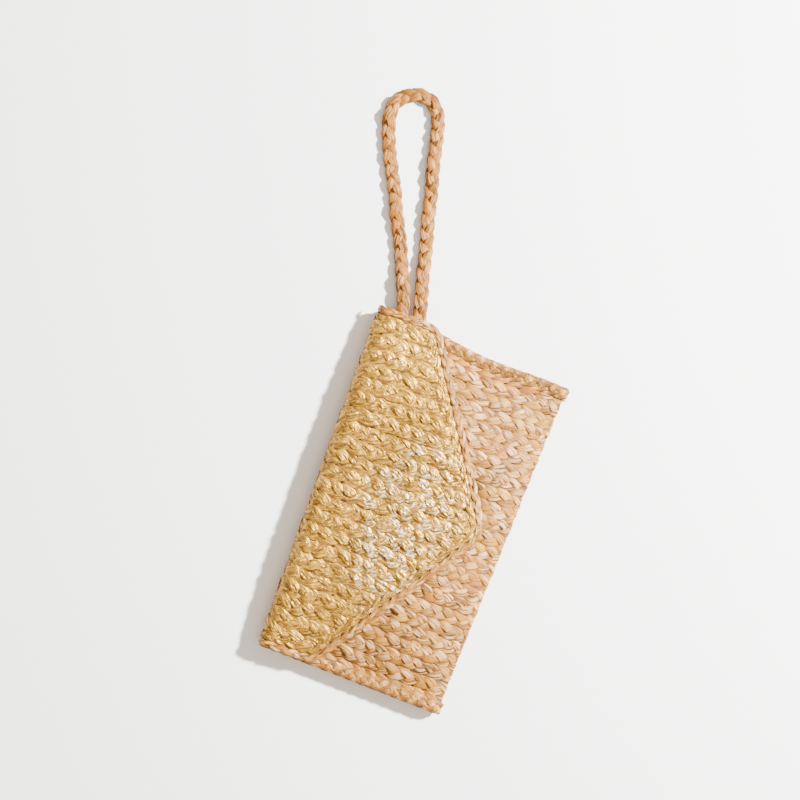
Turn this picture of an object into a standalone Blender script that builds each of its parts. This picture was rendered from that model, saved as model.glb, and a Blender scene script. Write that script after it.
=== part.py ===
"""An envelope clutch of sewn straw braid, with a folding flap, a magnetic snap and a braided wrist loop.

Units are metres and +Z is up. The clutch lies on its back: its width runs along X with the wrist loop
at +X, the fold that the flap turns over is at +Y, and the flap faces +Z. The origin is the middle of
the back panel's flat underside. One long sheet of lengthwise braid tapes makes the front, the bottom
fold, the back, the top fold and the flap. The flap turns about the outer line of the top fold. The
body is hand-sewn a little out of square, as the leaning side seams show.
"""

import math

import bmesh
import bpy
from mathutils import Matrix, Vector

# Overall size, from side to side and from the bottom fold to the top fold
BAG_WIDTH = 0.265
BAG_HEIGHT = 0.150

# How far the body is out of square: the side seams lean, the loop's end is the taller one, and the
# seam at the loop also runs inwards and bows in below the flap's corner
SLANT = 0.045
TAPER = 0.035
NARROWING = 0.029
BOW = 0.0038
BOW_START = 0.025

# Thicknesses of the materials, and the gap between pieces that touch
STRAW = 0.0030
LINING = 0.0006
CLEARANCE = 0.0003

# How the stuffed body swells
PUFF = 0.0105
PUFF_SKEW = 0.72
MOUTH_RISE = 0.0045
PILLOW_POWER = 3.5
BACK_ROLL = 0.018
SEAM_RISE = 0.0006

# The bottom fold, the top fold and the mouth between the front panel and the top fold
BOTTOM_FOLD_REACH = 0.0050
TOP_FOLD_REACH = 0.0100
MOUTH_GAP = 0.0130

# The braid that binds the side seams and the mouth
BINDING_WALL = 0.0016
BINDING_REACH = 0.0060
BINDING_BLEND = 0.0150
BINDING_CORNER_TURN = math.radians(46)

# The flap, whose free edges carry one more row of braid
FLAP_DEPTH = 0.1270
FLAP_SIDE = 0.0480
FLAP_FAR_SIDE = 0.0435
FLAP_CORNER_RADIUS = 0.0170
FLAP_TIP_RADIUS = 0.0220
BORDER_WIDTH = 0.0110
FLAP_REST_GAP = 0.0005

# The magnetic snap
SNAP_ABOVE_TIP = 0.0300
SNAP_RADIUS = 0.0090
SNAP_PLATE = 0.0005
CAP_WALL = 0.0004
CAP_ROUNDING = 0.0008
MAGNET_RADIUS = 0.0079
MAGNET_HEIGHT = 0.0015
STUD_PLATE = 0.0010
NUB_RADIUS = 0.0029
NUB_HEIGHT = 0.0016
NUB_CLEARANCE = 0.0007
WASHER_RADIUS = 0.0080
WASHER = 0.0006
WASHER_HOLE_RADIUS = 0.0022
PRONG_SPACING = 0.0092
PRONG_WIDTH = 0.0034
PRONG_THICKNESS = 0.0005
PRONG_FOOT = 0.0022
SNAP_DENT = 0.0054
SNAP_FLAT = 0.0120
SNAP_BLEND = 0.0260

# The wrist loop, a flattened three-strand braid whose two ends are sewn into the side seam
LOOP_WIDTH = 0.0096
LOOP_THICKNESS = 0.0052
LOOP_ROOT_STRAIGHT = 0.0060
LOOP_DROP_LENGTH = 0.0300
# Its route as (out from the side seam, down from the top fold), from one end round to the other
LOOP_ROUTE = (
    (0.0000, 0.0190),
    (0.0100, 0.0153),
    (0.0235, 0.0096),
    (0.0439, 0.0007),
    (0.0775, -0.0154),
    (0.1107, -0.0321),
    (0.1300, -0.0386),
    (0.1438, -0.0382),
    (0.1533, -0.0281),
    (0.1529, -0.0143),
    (0.1428, -0.0048),
    (0.1229, 0.0004),
    (0.0867, 0.0094),
    (0.0507, 0.0189),
    (0.0287, 0.0241),
    (0.0110, 0.0289),
    (0.0000, 0.0322),
)

# How finely the curved sheets are faceted
ACROSS_STEPS = 24
BACK_STEPS = 14
FRONT_STEPS = 18
FOLD_STEPS = 5
SIDE_STEPS = 3
DIAGONAL_STEPS = 9
ARC_STEPS = 4
FLAP_STEPS = 12
BORDER_STEPS = 3
CORNER_STEPS = 4
MOUTH_BINDING_START = 2
LOOP_SPANS = 60
LOOP_SIDES = 14
ROUND_SIDES = 40

# Places that follow from the sizes above
SIDE = BAG_WIDTH / 2
SEAM_X = SIDE - BINDING_WALL - CLEARANCE
PILLOW_X = SEAM_X - BINDING_REACH
TOP_Y = BAG_HEIGHT / 2
FOLD_Y = TOP_Y - TOP_FOLD_REACH
MOUTH_Y = TOP_Y - MOUTH_GAP
BOTTOM_Y = -BAG_HEIGHT / 2 + BOTTOM_FOLD_REACH
HEM = BINDING_WALL + CLEARANCE
SEAM_BASE = SEAM_RISE + HEM
SEAM_TOP = SEAM_BASE + 2 * STRAW + 2 * LINING + 3 * CLEARANCE
LINING_DEPTH = STRAW + CLEARANCE
FLAP_STACK = LINING_DEPTH + LINING + FLAP_REST_GAP
TIP_CENTRE = Vector((0.0, TOP_Y - FLAP_DEPTH + FLAP_TIP_RADIUS))
SNAP_Y = TOP_Y - FLAP_DEPTH + SNAP_ABOVE_TIP
CAP_HEIGHT = SNAP_PLATE + MAGNET_HEIGHT + CAP_WALL + 2 * CLEARANCE
WASHER_ROOM = CLEARANCE + WASHER + CLEARANCE + PRONG_THICKNESS
SNAP_STACK = WASHER_ROOM + STUD_PLATE + CAP_HEIGHT + 3 * CLEARANCE - FLAP_REST_GAP


def smooth(t):
    """0 below 0, 1 above 1 and an S-shaped rise between."""
    t = min(1.0, max(0.0, t))
    return t * t * (3 - 2 * t)


def either(a, b):
    """1 where one of the shares is 1, and 0 only where both are 0."""
    return 1 - (1 - a) * (1 - b)


def seam_inset(down):
    """How far in from the leaning line the loop's seam runs, this far down from the top fold."""
    share = min(1.0, max(0.0, (down - BOW_START) / (BAG_HEIGHT - BOW_START)))
    return NARROWING * down + BOW * math.sin(math.pi * share) ** 2


def sewn(x, y):
    """Where a point of the squared-up body lies on the body as it was sewn."""
    down = (TOP_Y - y) * (1 + TAPER * x / SIDE)
    return x - SLANT * down - seam_inset(down) * (1 + x / SIDE) / 2, TOP_Y - down


def squared(x, y):
    """The point of the squared-up body that lies at this point of the body as it was sewn."""
    down = TOP_Y - y
    inset = seam_inset(down) / 2
    x = (x + SLANT * down + inset) / (1 - inset / SIDE)
    return x, TOP_Y - down / (1 + TAPER * x / SIDE)


def from_snap(x, y):
    """How far a point of the squared-up body lies from the snap, in plan."""
    x, y = sewn(x, y)
    return math.hypot(x, y - SNAP_Y)


def near_snap(x, y):
    """1 over the snap and close round it, falling smoothly to 0 some way off."""
    return 1 - smooth((from_snap(x, y) - SNAP_RADIUS - SNAP_FLAT) / SNAP_BLEND)


def washer_room(x, y):
    """The room that the snap's washers take between the straw and the lining."""
    return WASHER_ROOM * (1 - smooth((from_snap(x, y) - SNAP_RADIUS - SNAP_FLAT) / SNAP_FLAT))


def near_binding(x, y):
    """1 over the braid that binds the side seams and the mouth."""
    at_side = smooth((abs(x) - PILLOW_X + BINDING_BLEND) / BINDING_BLEND)
    at_mouth = smooth((y - MOUTH_Y + BINDING_REACH + BINDING_BLEND) / BINDING_BLEND)
    return either(at_side, at_mouth)


def back_height(x, y):
    """The back panel's underside: flat, and rolled up towards the side seams and the bottom fold."""
    at_side = smooth((abs(x) - PILLOW_X + BACK_ROLL) / BACK_ROLL)
    at_bottom = smooth((BOTTOM_Y + BACK_ROLL - y) / BACK_ROLL)
    return SEAM_BASE * either(at_side, at_bottom)


def pillow_height(x, y):
    """The outer side that the stuffing alone would give the front panel."""
    across = 1 - min(1.0, abs(x) / PILLOW_X) ** PILLOW_POWER
    up = min(1.0, max(0.0, (y - BOTTOM_Y) / (MOUTH_Y - BOTTOM_Y)))
    swell = PUFF * math.sin(math.pi * up**PUFF_SKEW) + MOUTH_RISE * smooth(up)
    return SEAM_TOP + across * swell


SNAP_LEVEL = pillow_height(*squared(0, SNAP_Y)) - SNAP_DENT


def front_height(x, y):
    """The front panel's outer side: a pillow, pressed flat round the snap's stiff plates."""
    pillow = pillow_height(x, y)
    return pillow + (SNAP_LEVEL - pillow) * near_snap(x, y)


def flap_height(x, y):
    """The flap's outer side, which lies on the front panel, the bindings and the snap."""
    lift = FLAP_STACK + HEM * near_binding(x, y) + SNAP_STACK * near_snap(x, y)
    return front_height(x, min(y, MOUTH_Y)) + lift


def top_fold(x):
    """The middle height and the half thickness of the top fold, whose section is half an ellipse."""
    low, high = back_height(x, FOLD_Y), flap_height(x, FOLD_Y)
    return (low + high) / 2, (high - low) / 2


HINGE_HEIGHT = (top_fold(0)[0] + top_fold(SIDE)[0]) / 2


def hinge_angle(x, depth, above):
    """The angle on the top fold where the sheet stops, just above or just below the hinge line."""
    middle, half = top_fold(x)
    edge = HINGE_HEIGHT + (CLEARANCE if above else -CLEARANCE) / 2
    return math.asin((edge - middle) / (half - depth))


def fold_point(x, angle, depth):
    """A point of the top fold, this far inside its outer side."""
    middle, half = top_fold(x)
    y = FOLD_Y + (TOP_FOLD_REACH - depth) * math.cos(angle)
    return x, y, middle + (half - depth) * math.sin(angle)


BODY_STEPS = FOLD_STEPS + BACK_STEPS + 2 * FOLD_STEPS + FRONT_STEPS


def body_section(x, step, depth):
    """A point on the squared-up body sheet, from the hinge line down the back and up to the mouth."""
    if step < FOLD_STEPS:
        start = hinge_angle(x, depth, above=False)
        return fold_point(x, start + (-math.pi / 2 - start) * step / FOLD_STEPS, depth)
    step -= FOLD_STEPS
    if step < BACK_STEPS:
        y = FOLD_Y + (BOTTOM_Y - FOLD_Y) * step / BACK_STEPS
        return x, y, back_height(x, y) + depth
    step -= BACK_STEPS
    if step < 2 * FOLD_STEPS:
        low, high = back_height(x, BOTTOM_Y), front_height(x, BOTTOM_Y)
        angle = math.pi * step / (2 * FOLD_STEPS)
        y = BOTTOM_Y - (BOTTOM_FOLD_REACH - depth) * math.sin(angle)
        return x, y, (low + high) / 2 - ((high - low) / 2 - depth) * math.cos(angle)
    step -= 2 * FOLD_STEPS
    y = MOUTH_Y if step == FRONT_STEPS else (
        BOTTOM_Y + (MOUTH_Y - BINDING_REACH - BOTTOM_Y) * step / (FRONT_STEPS - 1)
    )
    return x, y, front_height(x, y) - depth


def on_body(x, y, z):
    """The point as sewn."""
    return Vector((*sewn(x, y), z))


def on_front(step):
    """Whether a step of the body sheet lies on the front panel."""
    return step >= BODY_STEPS - FRONT_STEPS


def column_x(column):
    """Where a column of the body's facets lies: the outermost ones are the flat strips at the seams."""
    if column in (0, ACROSS_STEPS):
        return SEAM_X if column else -SEAM_X
    return PILLOW_X * (2 * (column - 1) / (ACROSS_STEPS - 2) - 1)


def body_point(column, step, depth):
    """A point of the body sheet."""
    return on_body(*body_section(column_x(column), step, depth))


def pouch_lining_point(column, step, inner):
    """A point of the pouch's lining, which leaves room for the snap's washer."""
    x = column_x(column)
    depth = LINING_DEPTH + inner
    if on_front(step):
        depth += washer_room(*body_section(x, step, 0)[:2])
    return on_body(*body_section(x, step, depth))


def flap_spot(x, y, depth):
    """A point of the flap, on the way down from the top fold."""
    return Vector((x, y, flap_height(*squared(x, y)) - depth))


def arc(centre, radius, first, last):
    """The points of an arc between two angles."""
    points = []
    for step in range(ARC_STEPS + 1):
        angle = first + (last - first) * step / ARC_STEPS
        points.append(centre + radius * Vector((math.cos(angle), math.sin(angle))))
    return points


def flap_edge(inset, side):
    """Half of the flap's outline in plan, from the top fold down to the tip, this far inside its edge."""
    corner = Vector((SIDE, TOP_Y - (FLAP_SIDE if side > 0 else FLAP_FAR_SIDE)))
    run = Vector((side * TIP_CENTRE.x, TIP_CENTRE.y)) - corner
    bearing = math.atan2(run.y, run.x) + math.asin(FLAP_TIP_RADIUS / run.length)
    slope = Vector((math.cos(bearing), math.sin(bearing)))
    half = Vector((0, 1)).angle(slope) / 2
    inward = (Vector((0, 1)) + slope).normalized()
    centre = corner + inward * FLAP_CORNER_RADIUS / math.sin(half)
    facing = bearing + math.pi / 2 - (2 * math.pi if bearing > 0 else 0)
    bend = arc(centre, FLAP_CORNER_RADIUS - inset, 0.0, facing)
    tip = arc(corner + run, FLAP_TIP_RADIUS - inset, facing, -math.pi / 2)
    top = Vector((SIDE - inset, FOLD_Y))
    points = [top.lerp(bend[0], step / SIDE_STEPS) for step in range(SIDE_STEPS)]
    points += bend
    points += [bend[-1].lerp(tip[0], step / DIAGONAL_STEPS) for step in range(1, DIAGONAL_STEPS)]
    points += tip
    return [Vector((side * point.x, point.y)) for point in points]


def flap_outline(inset):
    """The flap's whole outline in plan, from the top fold at the loop's side round to the other."""
    return flap_edge(inset, 1) + flap_edge(inset, -1)[-2::-1]


def border_point(step, across, depth):
    """A point of the flap's border, from one end of the hinge line round the flap to the other."""
    outline = flap_outline(BORDER_WIDTH * across / BORDER_STEPS)
    last = len(outline) + 2 * FOLD_STEPS - 1
    turned = min(step, last - step)
    if turned >= FOLD_STEPS:
        return flap_spot(*outline[step - FOLD_STEPS], depth)
    x = outline[0 if turned == step else -1].x
    start = hinge_angle(x, depth, above=True)
    return Vector(fold_point(x, start + (math.pi / 2 - start) * turned / FOLD_STEPS, depth))


def flap_panel_point(column, step, depth):
    """A point of the flap's straw panel, which the border surrounds."""
    x, low = flap_outline(BORDER_WIDTH + CLEARANCE)[SIDE_STEPS:-SIDE_STEPS][column]
    if step < FOLD_STEPS:
        start = hinge_angle(x, depth, above=True)
        return Vector(fold_point(x, start + (math.pi / 2 - start) * step / FOLD_STEPS, depth))
    share = (step - FOLD_STEPS) / FLAP_STEPS
    return flap_spot(x, FOLD_Y + (low - FOLD_Y) * share, depth)


def flap_lining_point(column, step, inner):
    """A point of the flap's lining, which leaves room for the snap's washer."""
    spot = flap_panel_point(column, step, 0)
    room = washer_room(*squared(spot.x, spot.y)) if step >= FOLD_STEPS else 0
    return flap_panel_point(column, step, LINING_DEPTH + room + inner)


HEM_STEPS = 2 + 2 * FOLD_STEPS


def hem_section(step, depth, thick):
    """A point on a hem folded over an edge, as (back from the edge, up from the sheets' middle)."""
    half = thick / 2 + HEM - depth
    if step in (0, HEM_STEPS):
        return BINDING_REACH, half if step else -half
    angle = math.pi * (step - 1) / (2 * FOLD_STEPS)
    return -(HEM - depth) * math.sin(angle), -half * math.cos(angle)


def side_binding_point(side, row, step, depth):
    """A point of the braid folded over a side seam, which follows the corner of the bottom fold."""
    back, up = hem_section(step, depth, SEAM_TOP - SEAM_BASE)
    middle = (SEAM_TOP + SEAM_BASE) / 2
    x = side * (SEAM_X - back)
    if row >= CORNER_STEPS:
        y = BOTTOM_Y + (FOLD_Y - BOTTOM_Y) * (row - CORNER_STEPS) / BACK_STEPS
        return on_body(x, y, middle + up)
    turn = BINDING_CORNER_TURN * (1 - row / CORNER_STEPS)
    y = BOTTOM_Y - (BOTTOM_FOLD_REACH + HEM - depth) * math.sin(turn)
    return on_body(x, y, middle + up * math.cos(turn))


def mouth_binding_point(column, step, depth):
    """A point of the braid folded over the front panel's top edge, which ends where the pouch is too thin."""
    thick = STRAW + CLEARANCE + LINING
    back, up = hem_section(step, depth, thick)
    x = column_x(column + MOUTH_BINDING_START)
    y = MOUTH_Y - back
    return on_body(x, y, front_height(x, min(y, MOUTH_Y)) - thick / 2 + up)


def finish(name, colour, metallic, roughness):
    """A plain Principled material."""
    made = bpy.data.materials.new(name)
    made.use_nodes = True
    shader = made.node_tree.nodes["Principled BSDF"]
    shader.inputs["Base Color"].default_value = (*colour, 1)
    shader.inputs["Metallic"].default_value = metallic
    shader.inputs["Roughness"].default_value = roughness
    return made


def add_piece(name, mesh, material):
    """Turns a finished bmesh into a named, smoothly shaded object."""
    bmesh.ops.recalc_face_normals(mesh, faces=mesh.faces)
    if mesh.calc_volume(signed=True) < 0:
        bmesh.ops.reverse_faces(mesh, faces=mesh.faces)
    data = bpy.data.meshes.new(name)
    mesh.to_mesh(data)
    mesh.free()
    data.shade_smooth()
    data.set_sharp_from_angle(angle=math.radians(35))
    data.materials.append(material)
    piece = bpy.data.objects.new(name, data)
    bpy.context.scene.collection.objects.link(piece)
    return piece


def add_sheet(name, columns, rows, point, thickness, material):
    """A sheet: a flat grid, given its second side by extruding, whose points then take their places."""
    mesh = bmesh.new()
    bmesh.ops.create_grid(mesh, x_segments=columns, y_segments=rows, size=0.5)
    outer = list(mesh.verts)
    extruded = bmesh.ops.extrude_face_region(mesh, geom=mesh.faces[:])["geom"]
    inner = [item for item in extruded if isinstance(item, bmesh.types.BMVert)]
    for verts, depth in ((outer, 0.0), (inner, thickness)):
        for vert in verts:
            column = round((vert.co.x + 0.5) * columns)
            row = round((vert.co.y + 0.5) * rows)
            vert.co = point(column, row, depth)
    return add_piece(name, mesh, material)


def add_turned(name, profile, height, material):
    """A solid turned about the snap's axis from (radius, up) points, standing at this height."""
    mesh = bmesh.new()
    verts = [mesh.verts.new((radius, 0, up)) for radius, up in profile]
    edges = [mesh.edges.new((verts[i - 1], verts[i])) for i in range(len(verts))]
    bmesh.ops.spin(
        mesh,
        geom=verts + edges,
        cent=(0, 0, 0),
        axis=(0, 0, 1),
        angle=2 * math.pi,
        steps=ROUND_SIDES,
        use_merge=True,
    )
    bmesh.ops.remove_doubles(mesh, verts=mesh.verts, dist=1e-6)
    on_axis = [edge for edge in mesh.edges if all(v.co.xy.length < 1e-6 for v in edge.verts)]
    bmesh.ops.delete(mesh, geom=on_axis, context="EDGES")
    bmesh.ops.translate(mesh, verts=mesh.verts, vec=(0, SNAP_Y, height))
    return add_piece(name, mesh, material)


def add_block(name, low, high, material):
    """A plain block between two corners."""
    mesh = bmesh.new()
    low, high = Vector(low), Vector(high)
    place = Matrix.Translation((low + high) / 2) @ Matrix.Diagonal((*(high - low), 1))
    bmesh.ops.create_cube(mesh, size=1, matrix=place)
    return add_piece(name, mesh, material)


def combine(piece, tool, operation):
    """Joins a helper to a piece or cuts it away, and hides the helper."""
    modifier = piece.modifiers.new(tool.name, "BOOLEAN")
    modifier.operation = operation
    modifier.object = tool
    tool.hide_render = True
    tool.display_type = "WIRE"


def prong_slits(name, clear, low, high, material):
    """Two slit-shaped blocks where the prongs pass, this much larger than they are all round."""
    slits = []
    for side in (-1, 1):
        middle = side * PRONG_SPACING / 2
        x = PRONG_THICKNESS / 2 + clear
        y = PRONG_WIDTH / 2 + clear
        corners = (middle - x, SNAP_Y - y, low), (middle + x, SNAP_Y + y, high)
        slits.append(add_block(f"{name}_{'left' if side < 0 else 'right'}", *corners, material))
    return slits


def add_prongs(plate, root, tip, material):
    """Two prongs on a plate, from inside it to their tips, each with its foot bent outwards."""
    upwards = 1 if tip > root else -1
    for side, prong in zip((-1, 1), prong_slits(f"{plate.name}_prong", 0, root, tip, material)):
        inside = side * (PRONG_SPACING - PRONG_THICKNESS) / 2
        outside = inside + side * (PRONG_THICKNESS + PRONG_FOOT)
        foot = add_block(
            f"{prong.name}_foot",
            (min(inside, outside), SNAP_Y - PRONG_WIDTH / 2, min(tip, tip - upwards * PRONG_THICKNESS)),
            (max(inside, outside), SNAP_Y + PRONG_WIDTH / 2, max(tip, tip - upwards * PRONG_THICKNESS)),
            material,
        )
        combine(prong, foot, "UNION")
        combine(plate, prong, "UNION")


def add_washer(name, height, material):
    """A backing washer with its middle hole and two slits, standing on this height."""
    ring = ((WASHER_HOLE_RADIUS, 0), (WASHER_RADIUS, 0), (WASHER_RADIUS, WASHER), (WASHER_HOLE_RADIUS, WASHER))
    washer = add_turned(name, ring, height, material)
    over = (height - WASHER, height + 2 * WASHER)
    for slit in prong_slits(f"{name}_slit", CLEARANCE, *over, material):
        combine(washer, slit, "DIFFERENCE")
    return washer


def lowest_over_snap(height_at, radius):
    """The lowest a surface comes within this distance of the snap's axis."""
    heights = [height_at(0, SNAP_Y)]
    for step in range(ROUND_SIDES):
        angle = 2 * math.pi * step / ROUND_SIDES
        heights.append(height_at(radius * math.cos(angle), SNAP_Y + radius * math.sin(angle)))
    return min(heights)


def highest_over_snap(height_at, radius):
    """The highest a surface comes within this distance of the snap's axis."""
    return -lowest_over_snap(lambda x, y: -height_at(x, y), radius)


def front_at(x, y):
    """The front panel's height at a point in plan."""
    return front_height(*squared(x, y))


def flap_at(x, y):
    """The flap's height at a point in plan."""
    return flap_height(*squared(x, y))


def add_socket(front, brass, steel, iron):
    """The snap's socket: a prong plate and a ring magnet under a cap, with a washer behind the straw."""
    seat = highest_over_snap(front_at, SNAP_RADIUS) + CLEARANCE
    hole = NUB_RADIUS + NUB_CLEARANCE
    plate_radius = SNAP_RADIUS - CAP_WALL - CLEARANCE
    plate = add_turned(
        "snap_socket_plate",
        ((0, 0), (plate_radius, 0), (plate_radius, SNAP_PLATE), (0, SNAP_PLATE)),
        seat,
        steel,
    )
    magnet_bottom = SNAP_PLATE + CLEARANCE
    magnet_top = magnet_bottom + MAGNET_HEIGHT
    add_turned(
        "snap_magnet",
        (
            (hole + CLEARANCE, magnet_bottom),
            (MAGNET_RADIUS, magnet_bottom),
            (MAGNET_RADIUS, magnet_top),
            (hole + CLEARANCE, magnet_top),
        ),
        seat,
        iron,
    )
    inside_top = CAP_HEIGHT - CAP_WALL
    add_turned(
        "snap_socket_cap",
        (
            (SNAP_RADIUS, 0),
            (SNAP_RADIUS, CAP_HEIGHT - CAP_ROUNDING),
            (SNAP_RADIUS - CAP_ROUNDING / 3, CAP_HEIGHT - CAP_ROUNDING / 3),
            (SNAP_RADIUS - CAP_ROUNDING, CAP_HEIGHT),
            (hole + CAP_ROUNDING / 2, CAP_HEIGHT),
            (hole, CAP_HEIGHT - CAP_ROUNDING / 4),
            (hole, inside_top),
            (SNAP_RADIUS - CAP_WALL, inside_top),
            (SNAP_RADIUS - CAP_WALL, 0),
        ),
        seat,
        brass,
    )
    under_straw = lowest_over_snap(front_at, WASHER_RADIUS) - STRAW
    washer_bottom = under_straw - CLEARANCE - WASHER
    add_prongs(plate, seat + SNAP_PLATE / 2, washer_bottom - CLEARANCE - PRONG_THICKNESS, steel)
    add_washer("snap_socket_washer", washer_bottom, steel)
    for slit in prong_slits("front_slit", CLEARANCE, under_straw - STRAW / 2, seat, steel):
        combine(front, slit, "DIFFERENCE")


def add_stud(lining, brass, steel):
    """The snap's stud: a plate whose nub enters the socket, with a washer between lining and straw."""
    seat = lowest_over_snap(flap_at, SNAP_RADIUS) - LINING_DEPTH - WASHER_ROOM - LINING - CLEARANCE
    rounding = STUD_PLATE / 3
    bottom = -STUD_PLATE
    stud = add_turned(
        "snap_stud",
        (
            (0, 0),
            (SNAP_RADIUS - rounding, 0),
            (SNAP_RADIUS, -rounding),
            (SNAP_RADIUS, bottom + rounding),
            (SNAP_RADIUS - rounding, bottom),
            (NUB_RADIUS + rounding, bottom),
            (NUB_RADIUS, bottom - rounding),
            (NUB_RADIUS, bottom - NUB_HEIGHT + rounding),
            (NUB_RADIUS - rounding, bottom - NUB_HEIGHT),
            (0, bottom - NUB_HEIGHT),
        ),
        seat,
        brass,
    )
    over_lining = highest_over_snap(flap_at, WASHER_RADIUS) - LINING_DEPTH - WASHER_ROOM
    washer_bottom = over_lining + CLEARANCE
    washer_top = washer_bottom + WASHER
    add_prongs(stud, seat - STUD_PLATE / 2, washer_top + CLEARANCE + PRONG_THICKNESS, steel)
    washer = add_washer("snap_stud_washer", washer_bottom, steel)
    for slit in prong_slits("lining_slit", CLEARANCE, seat, washer_bottom, steel):
        combine(lining, slit, "DIFFERENCE")
    return stud, washer


def smooth_path(points, spans):
    """Evenly spaced points along a smooth curve through the given ones."""
    padded = [2 * points[0] - points[1], *points, 2 * points[-1] - points[-2]]
    dense = []
    for a, b, c, d in zip(padded, padded[1:], padded[2:], padded[3:]):
        for step in range(spans):
            t = step / spans
            cubic = 2 * b + (c - a) * t + (2 * a - 5 * b + 4 * c - d) * t**2
            dense.append((cubic + (3 * b - a - 3 * c + d) * t**3) / 2)
    dense.append(points[-1])
    lengths = [0.0]
    for here, there in zip(dense, dense[1:]):
        lengths.append(lengths[-1] + (there - here).length)
    even, index = [], 0
    for step in range(spans + 1):
        wanted = lengths[-1] * step / spans
        while index < len(dense) - 2 and lengths[index + 1] < wanted:
            index += 1
        span = lengths[index + 1] - lengths[index]
        even.append(dense[index].lerp(dense[index + 1], (wanted - lengths[index]) / span))
    return even


LOOP_PIVOT_X = SIDE + CLEARANCE + LOOP_THICKNESS / 2
LOOP_PIVOT_Z = (SEAM_BASE + SEAM_TOP) / 2


def loop_point(out, down):
    """A point of the loop's middle line, which comes straight out of the seam and then lies down."""
    low = LOOP_THICKNESS / 2 + CLEARANCE
    fallen = smooth((out - LOOP_ROOT_STRAIGHT) / LOOP_DROP_LENGTH)
    return Vector((LOOP_PIVOT_X + out, TOP_Y - down, LOOP_PIVOT_Z + (low - LOOP_PIVOT_Z) * fallen))


def loop_root_y():
    """Half-way between the loop's two roots."""
    return TOP_Y - (LOOP_ROUTE[0][1] + LOOP_ROUTE[-1][1]) / 2


def loop_nose(root):
    """The (middle, direction, share of the thickness) rings of a leg's round end, which reaches its seam."""
    low, high = (Vector(sewn(SIDE, root.y + way * LOOP_WIDTH / 2)) for way in (-1, 1))
    seam = (high - low).normalized()
    outwards = Vector((seam.y, -seam.x, 0))
    x = (low.x + high.x) / 2 + CLEARANCE + LOOP_THICKNESS / 2
    rings = []
    for step in range(FOLD_STEPS):
        angle = math.pi / 2 * (step + 0.5) / FOLD_STEPS
        middle = Vector((x - LOOP_THICKNESS / 2 * math.cos(angle), root.y, root.z))
        rings.append((middle, outwards, math.sin(angle)))
    return rings


def add_wrist_loop(material):
    """The loop: a flattened tube along its route, with both ends rounded to turn against the seam."""
    path = smooth_path([loop_point(*place) for place in LOOP_ROUTE], LOOP_SPANS)
    rings = loop_nose(path[0])
    for before, here, after in zip(path, path[1:], path[2:]):
        rings.append((here, (after - before).normalized(), 1.0))
    rings += [(middle, -along, share) for middle, along, share in reversed(loop_nose(path[-1]))]
    mesh = bmesh.new()
    loops = []
    for middle, along, share in rings:
        across = Vector((-along.y, along.x, 0)).normalized()
        up = along.cross(across)
        ring = []
        for side in range(LOOP_SIDES):
            angle = 2 * math.pi * side / LOOP_SIDES
            wide = across * math.cos(angle) * LOOP_WIDTH / 2
            tall = up * math.sin(angle) * LOOP_THICKNESS / 2 * share
            ring.append(mesh.verts.new(middle + wide + tall))
        loops.append(ring)
    for here, there in zip(loops, loops[1:]):
        for side in range(LOOP_SIDES):
            before = side - 1
            mesh.faces.new((here[before], here[side], there[side], there[before]))
    mesh.faces.new(loops[0])
    mesh.faces.new(loops[-1])
    return add_piece("wrist_loop", mesh, material)


def hang_on(name, place, pieces):
    """An empty on a joint's axis, which the joint's moving pieces follow."""
    pivot = bpy.data.objects.new(name, None)
    bpy.context.scene.collection.objects.link(pivot)
    pivot.location = place
    for piece in pieces:
        piece.parent = pivot
        piece.matrix_parent_inverse = Matrix.Translation(place).inverted()


def clear_scene():
    """Removes every object of the open scene."""
    for item in list(bpy.data.objects):
        bpy.data.objects.remove(item)


def main():
    """Builds the clutch."""
    clear_scene()
    natural = finish("natural_straw", (0.66, 0.44, 0.25), 0.0, 0.5)
    gilt = finish("gilt_straw", (0.62, 0.42, 0.15), 0.7, 0.4)
    cotton = finish("cotton_lining", (0.78, 0.70, 0.56), 0.0, 0.9)
    brass = finish("brass", (0.72, 0.55, 0.25), 1.0, 0.25)
    steel = finish("steel", (0.55, 0.55, 0.56), 1.0, 0.35)
    iron = finish("magnet", (0.06, 0.06, 0.065), 0.0, 0.6)

    body = add_sheet("body_panel", ACROSS_STEPS, BODY_STEPS, body_point, STRAW, natural)
    add_sheet("pouch_lining", ACROSS_STEPS, BODY_STEPS, pouch_lining_point, LINING, cotton)
    for name, side in (("side_binding_left", -1), ("side_binding_right", 1)):
        add_sheet(
            name,
            CORNER_STEPS + BACK_STEPS,
            HEM_STEPS,
            lambda row, step, depth, side=side: side_binding_point(side, row, step, depth),
            BINDING_WALL,
            natural,
        )
    columns = ACROSS_STEPS - 2 * MOUTH_BINDING_START
    add_sheet("mouth_binding", columns, HEM_STEPS, mouth_binding_point, BINDING_WALL, natural)

    edge = len(flap_outline(0))
    flap_columns = edge - 2 * SIDE_STEPS - 1
    flap_rows = FOLD_STEPS + FLAP_STEPS
    flap_panel = add_sheet("flap_panel", flap_columns, flap_rows, flap_panel_point, STRAW, gilt)
    flap_lining = add_sheet("flap_lining", flap_columns, flap_rows, flap_lining_point, LINING, cotton)
    border_steps = edge + 2 * FOLD_STEPS - 1
    flap_border = add_sheet("flap_border", border_steps, BORDER_STEPS, border_point, STRAW, natural)

    add_socket(body, brass, steel, iron)
    stud = add_stud(flap_lining, brass, steel)
    loop = add_wrist_loop(natural)

    hang_on("flap_hinge", Vector((0, TOP_Y, HINGE_HEIGHT)), [flap_panel, flap_lining, flap_border, *stud])
    hang_on("loop_hinge", Vector((LOOP_PIVOT_X, loop_root_y(), LOOP_PIVOT_Z)), [loop])


main()
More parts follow.
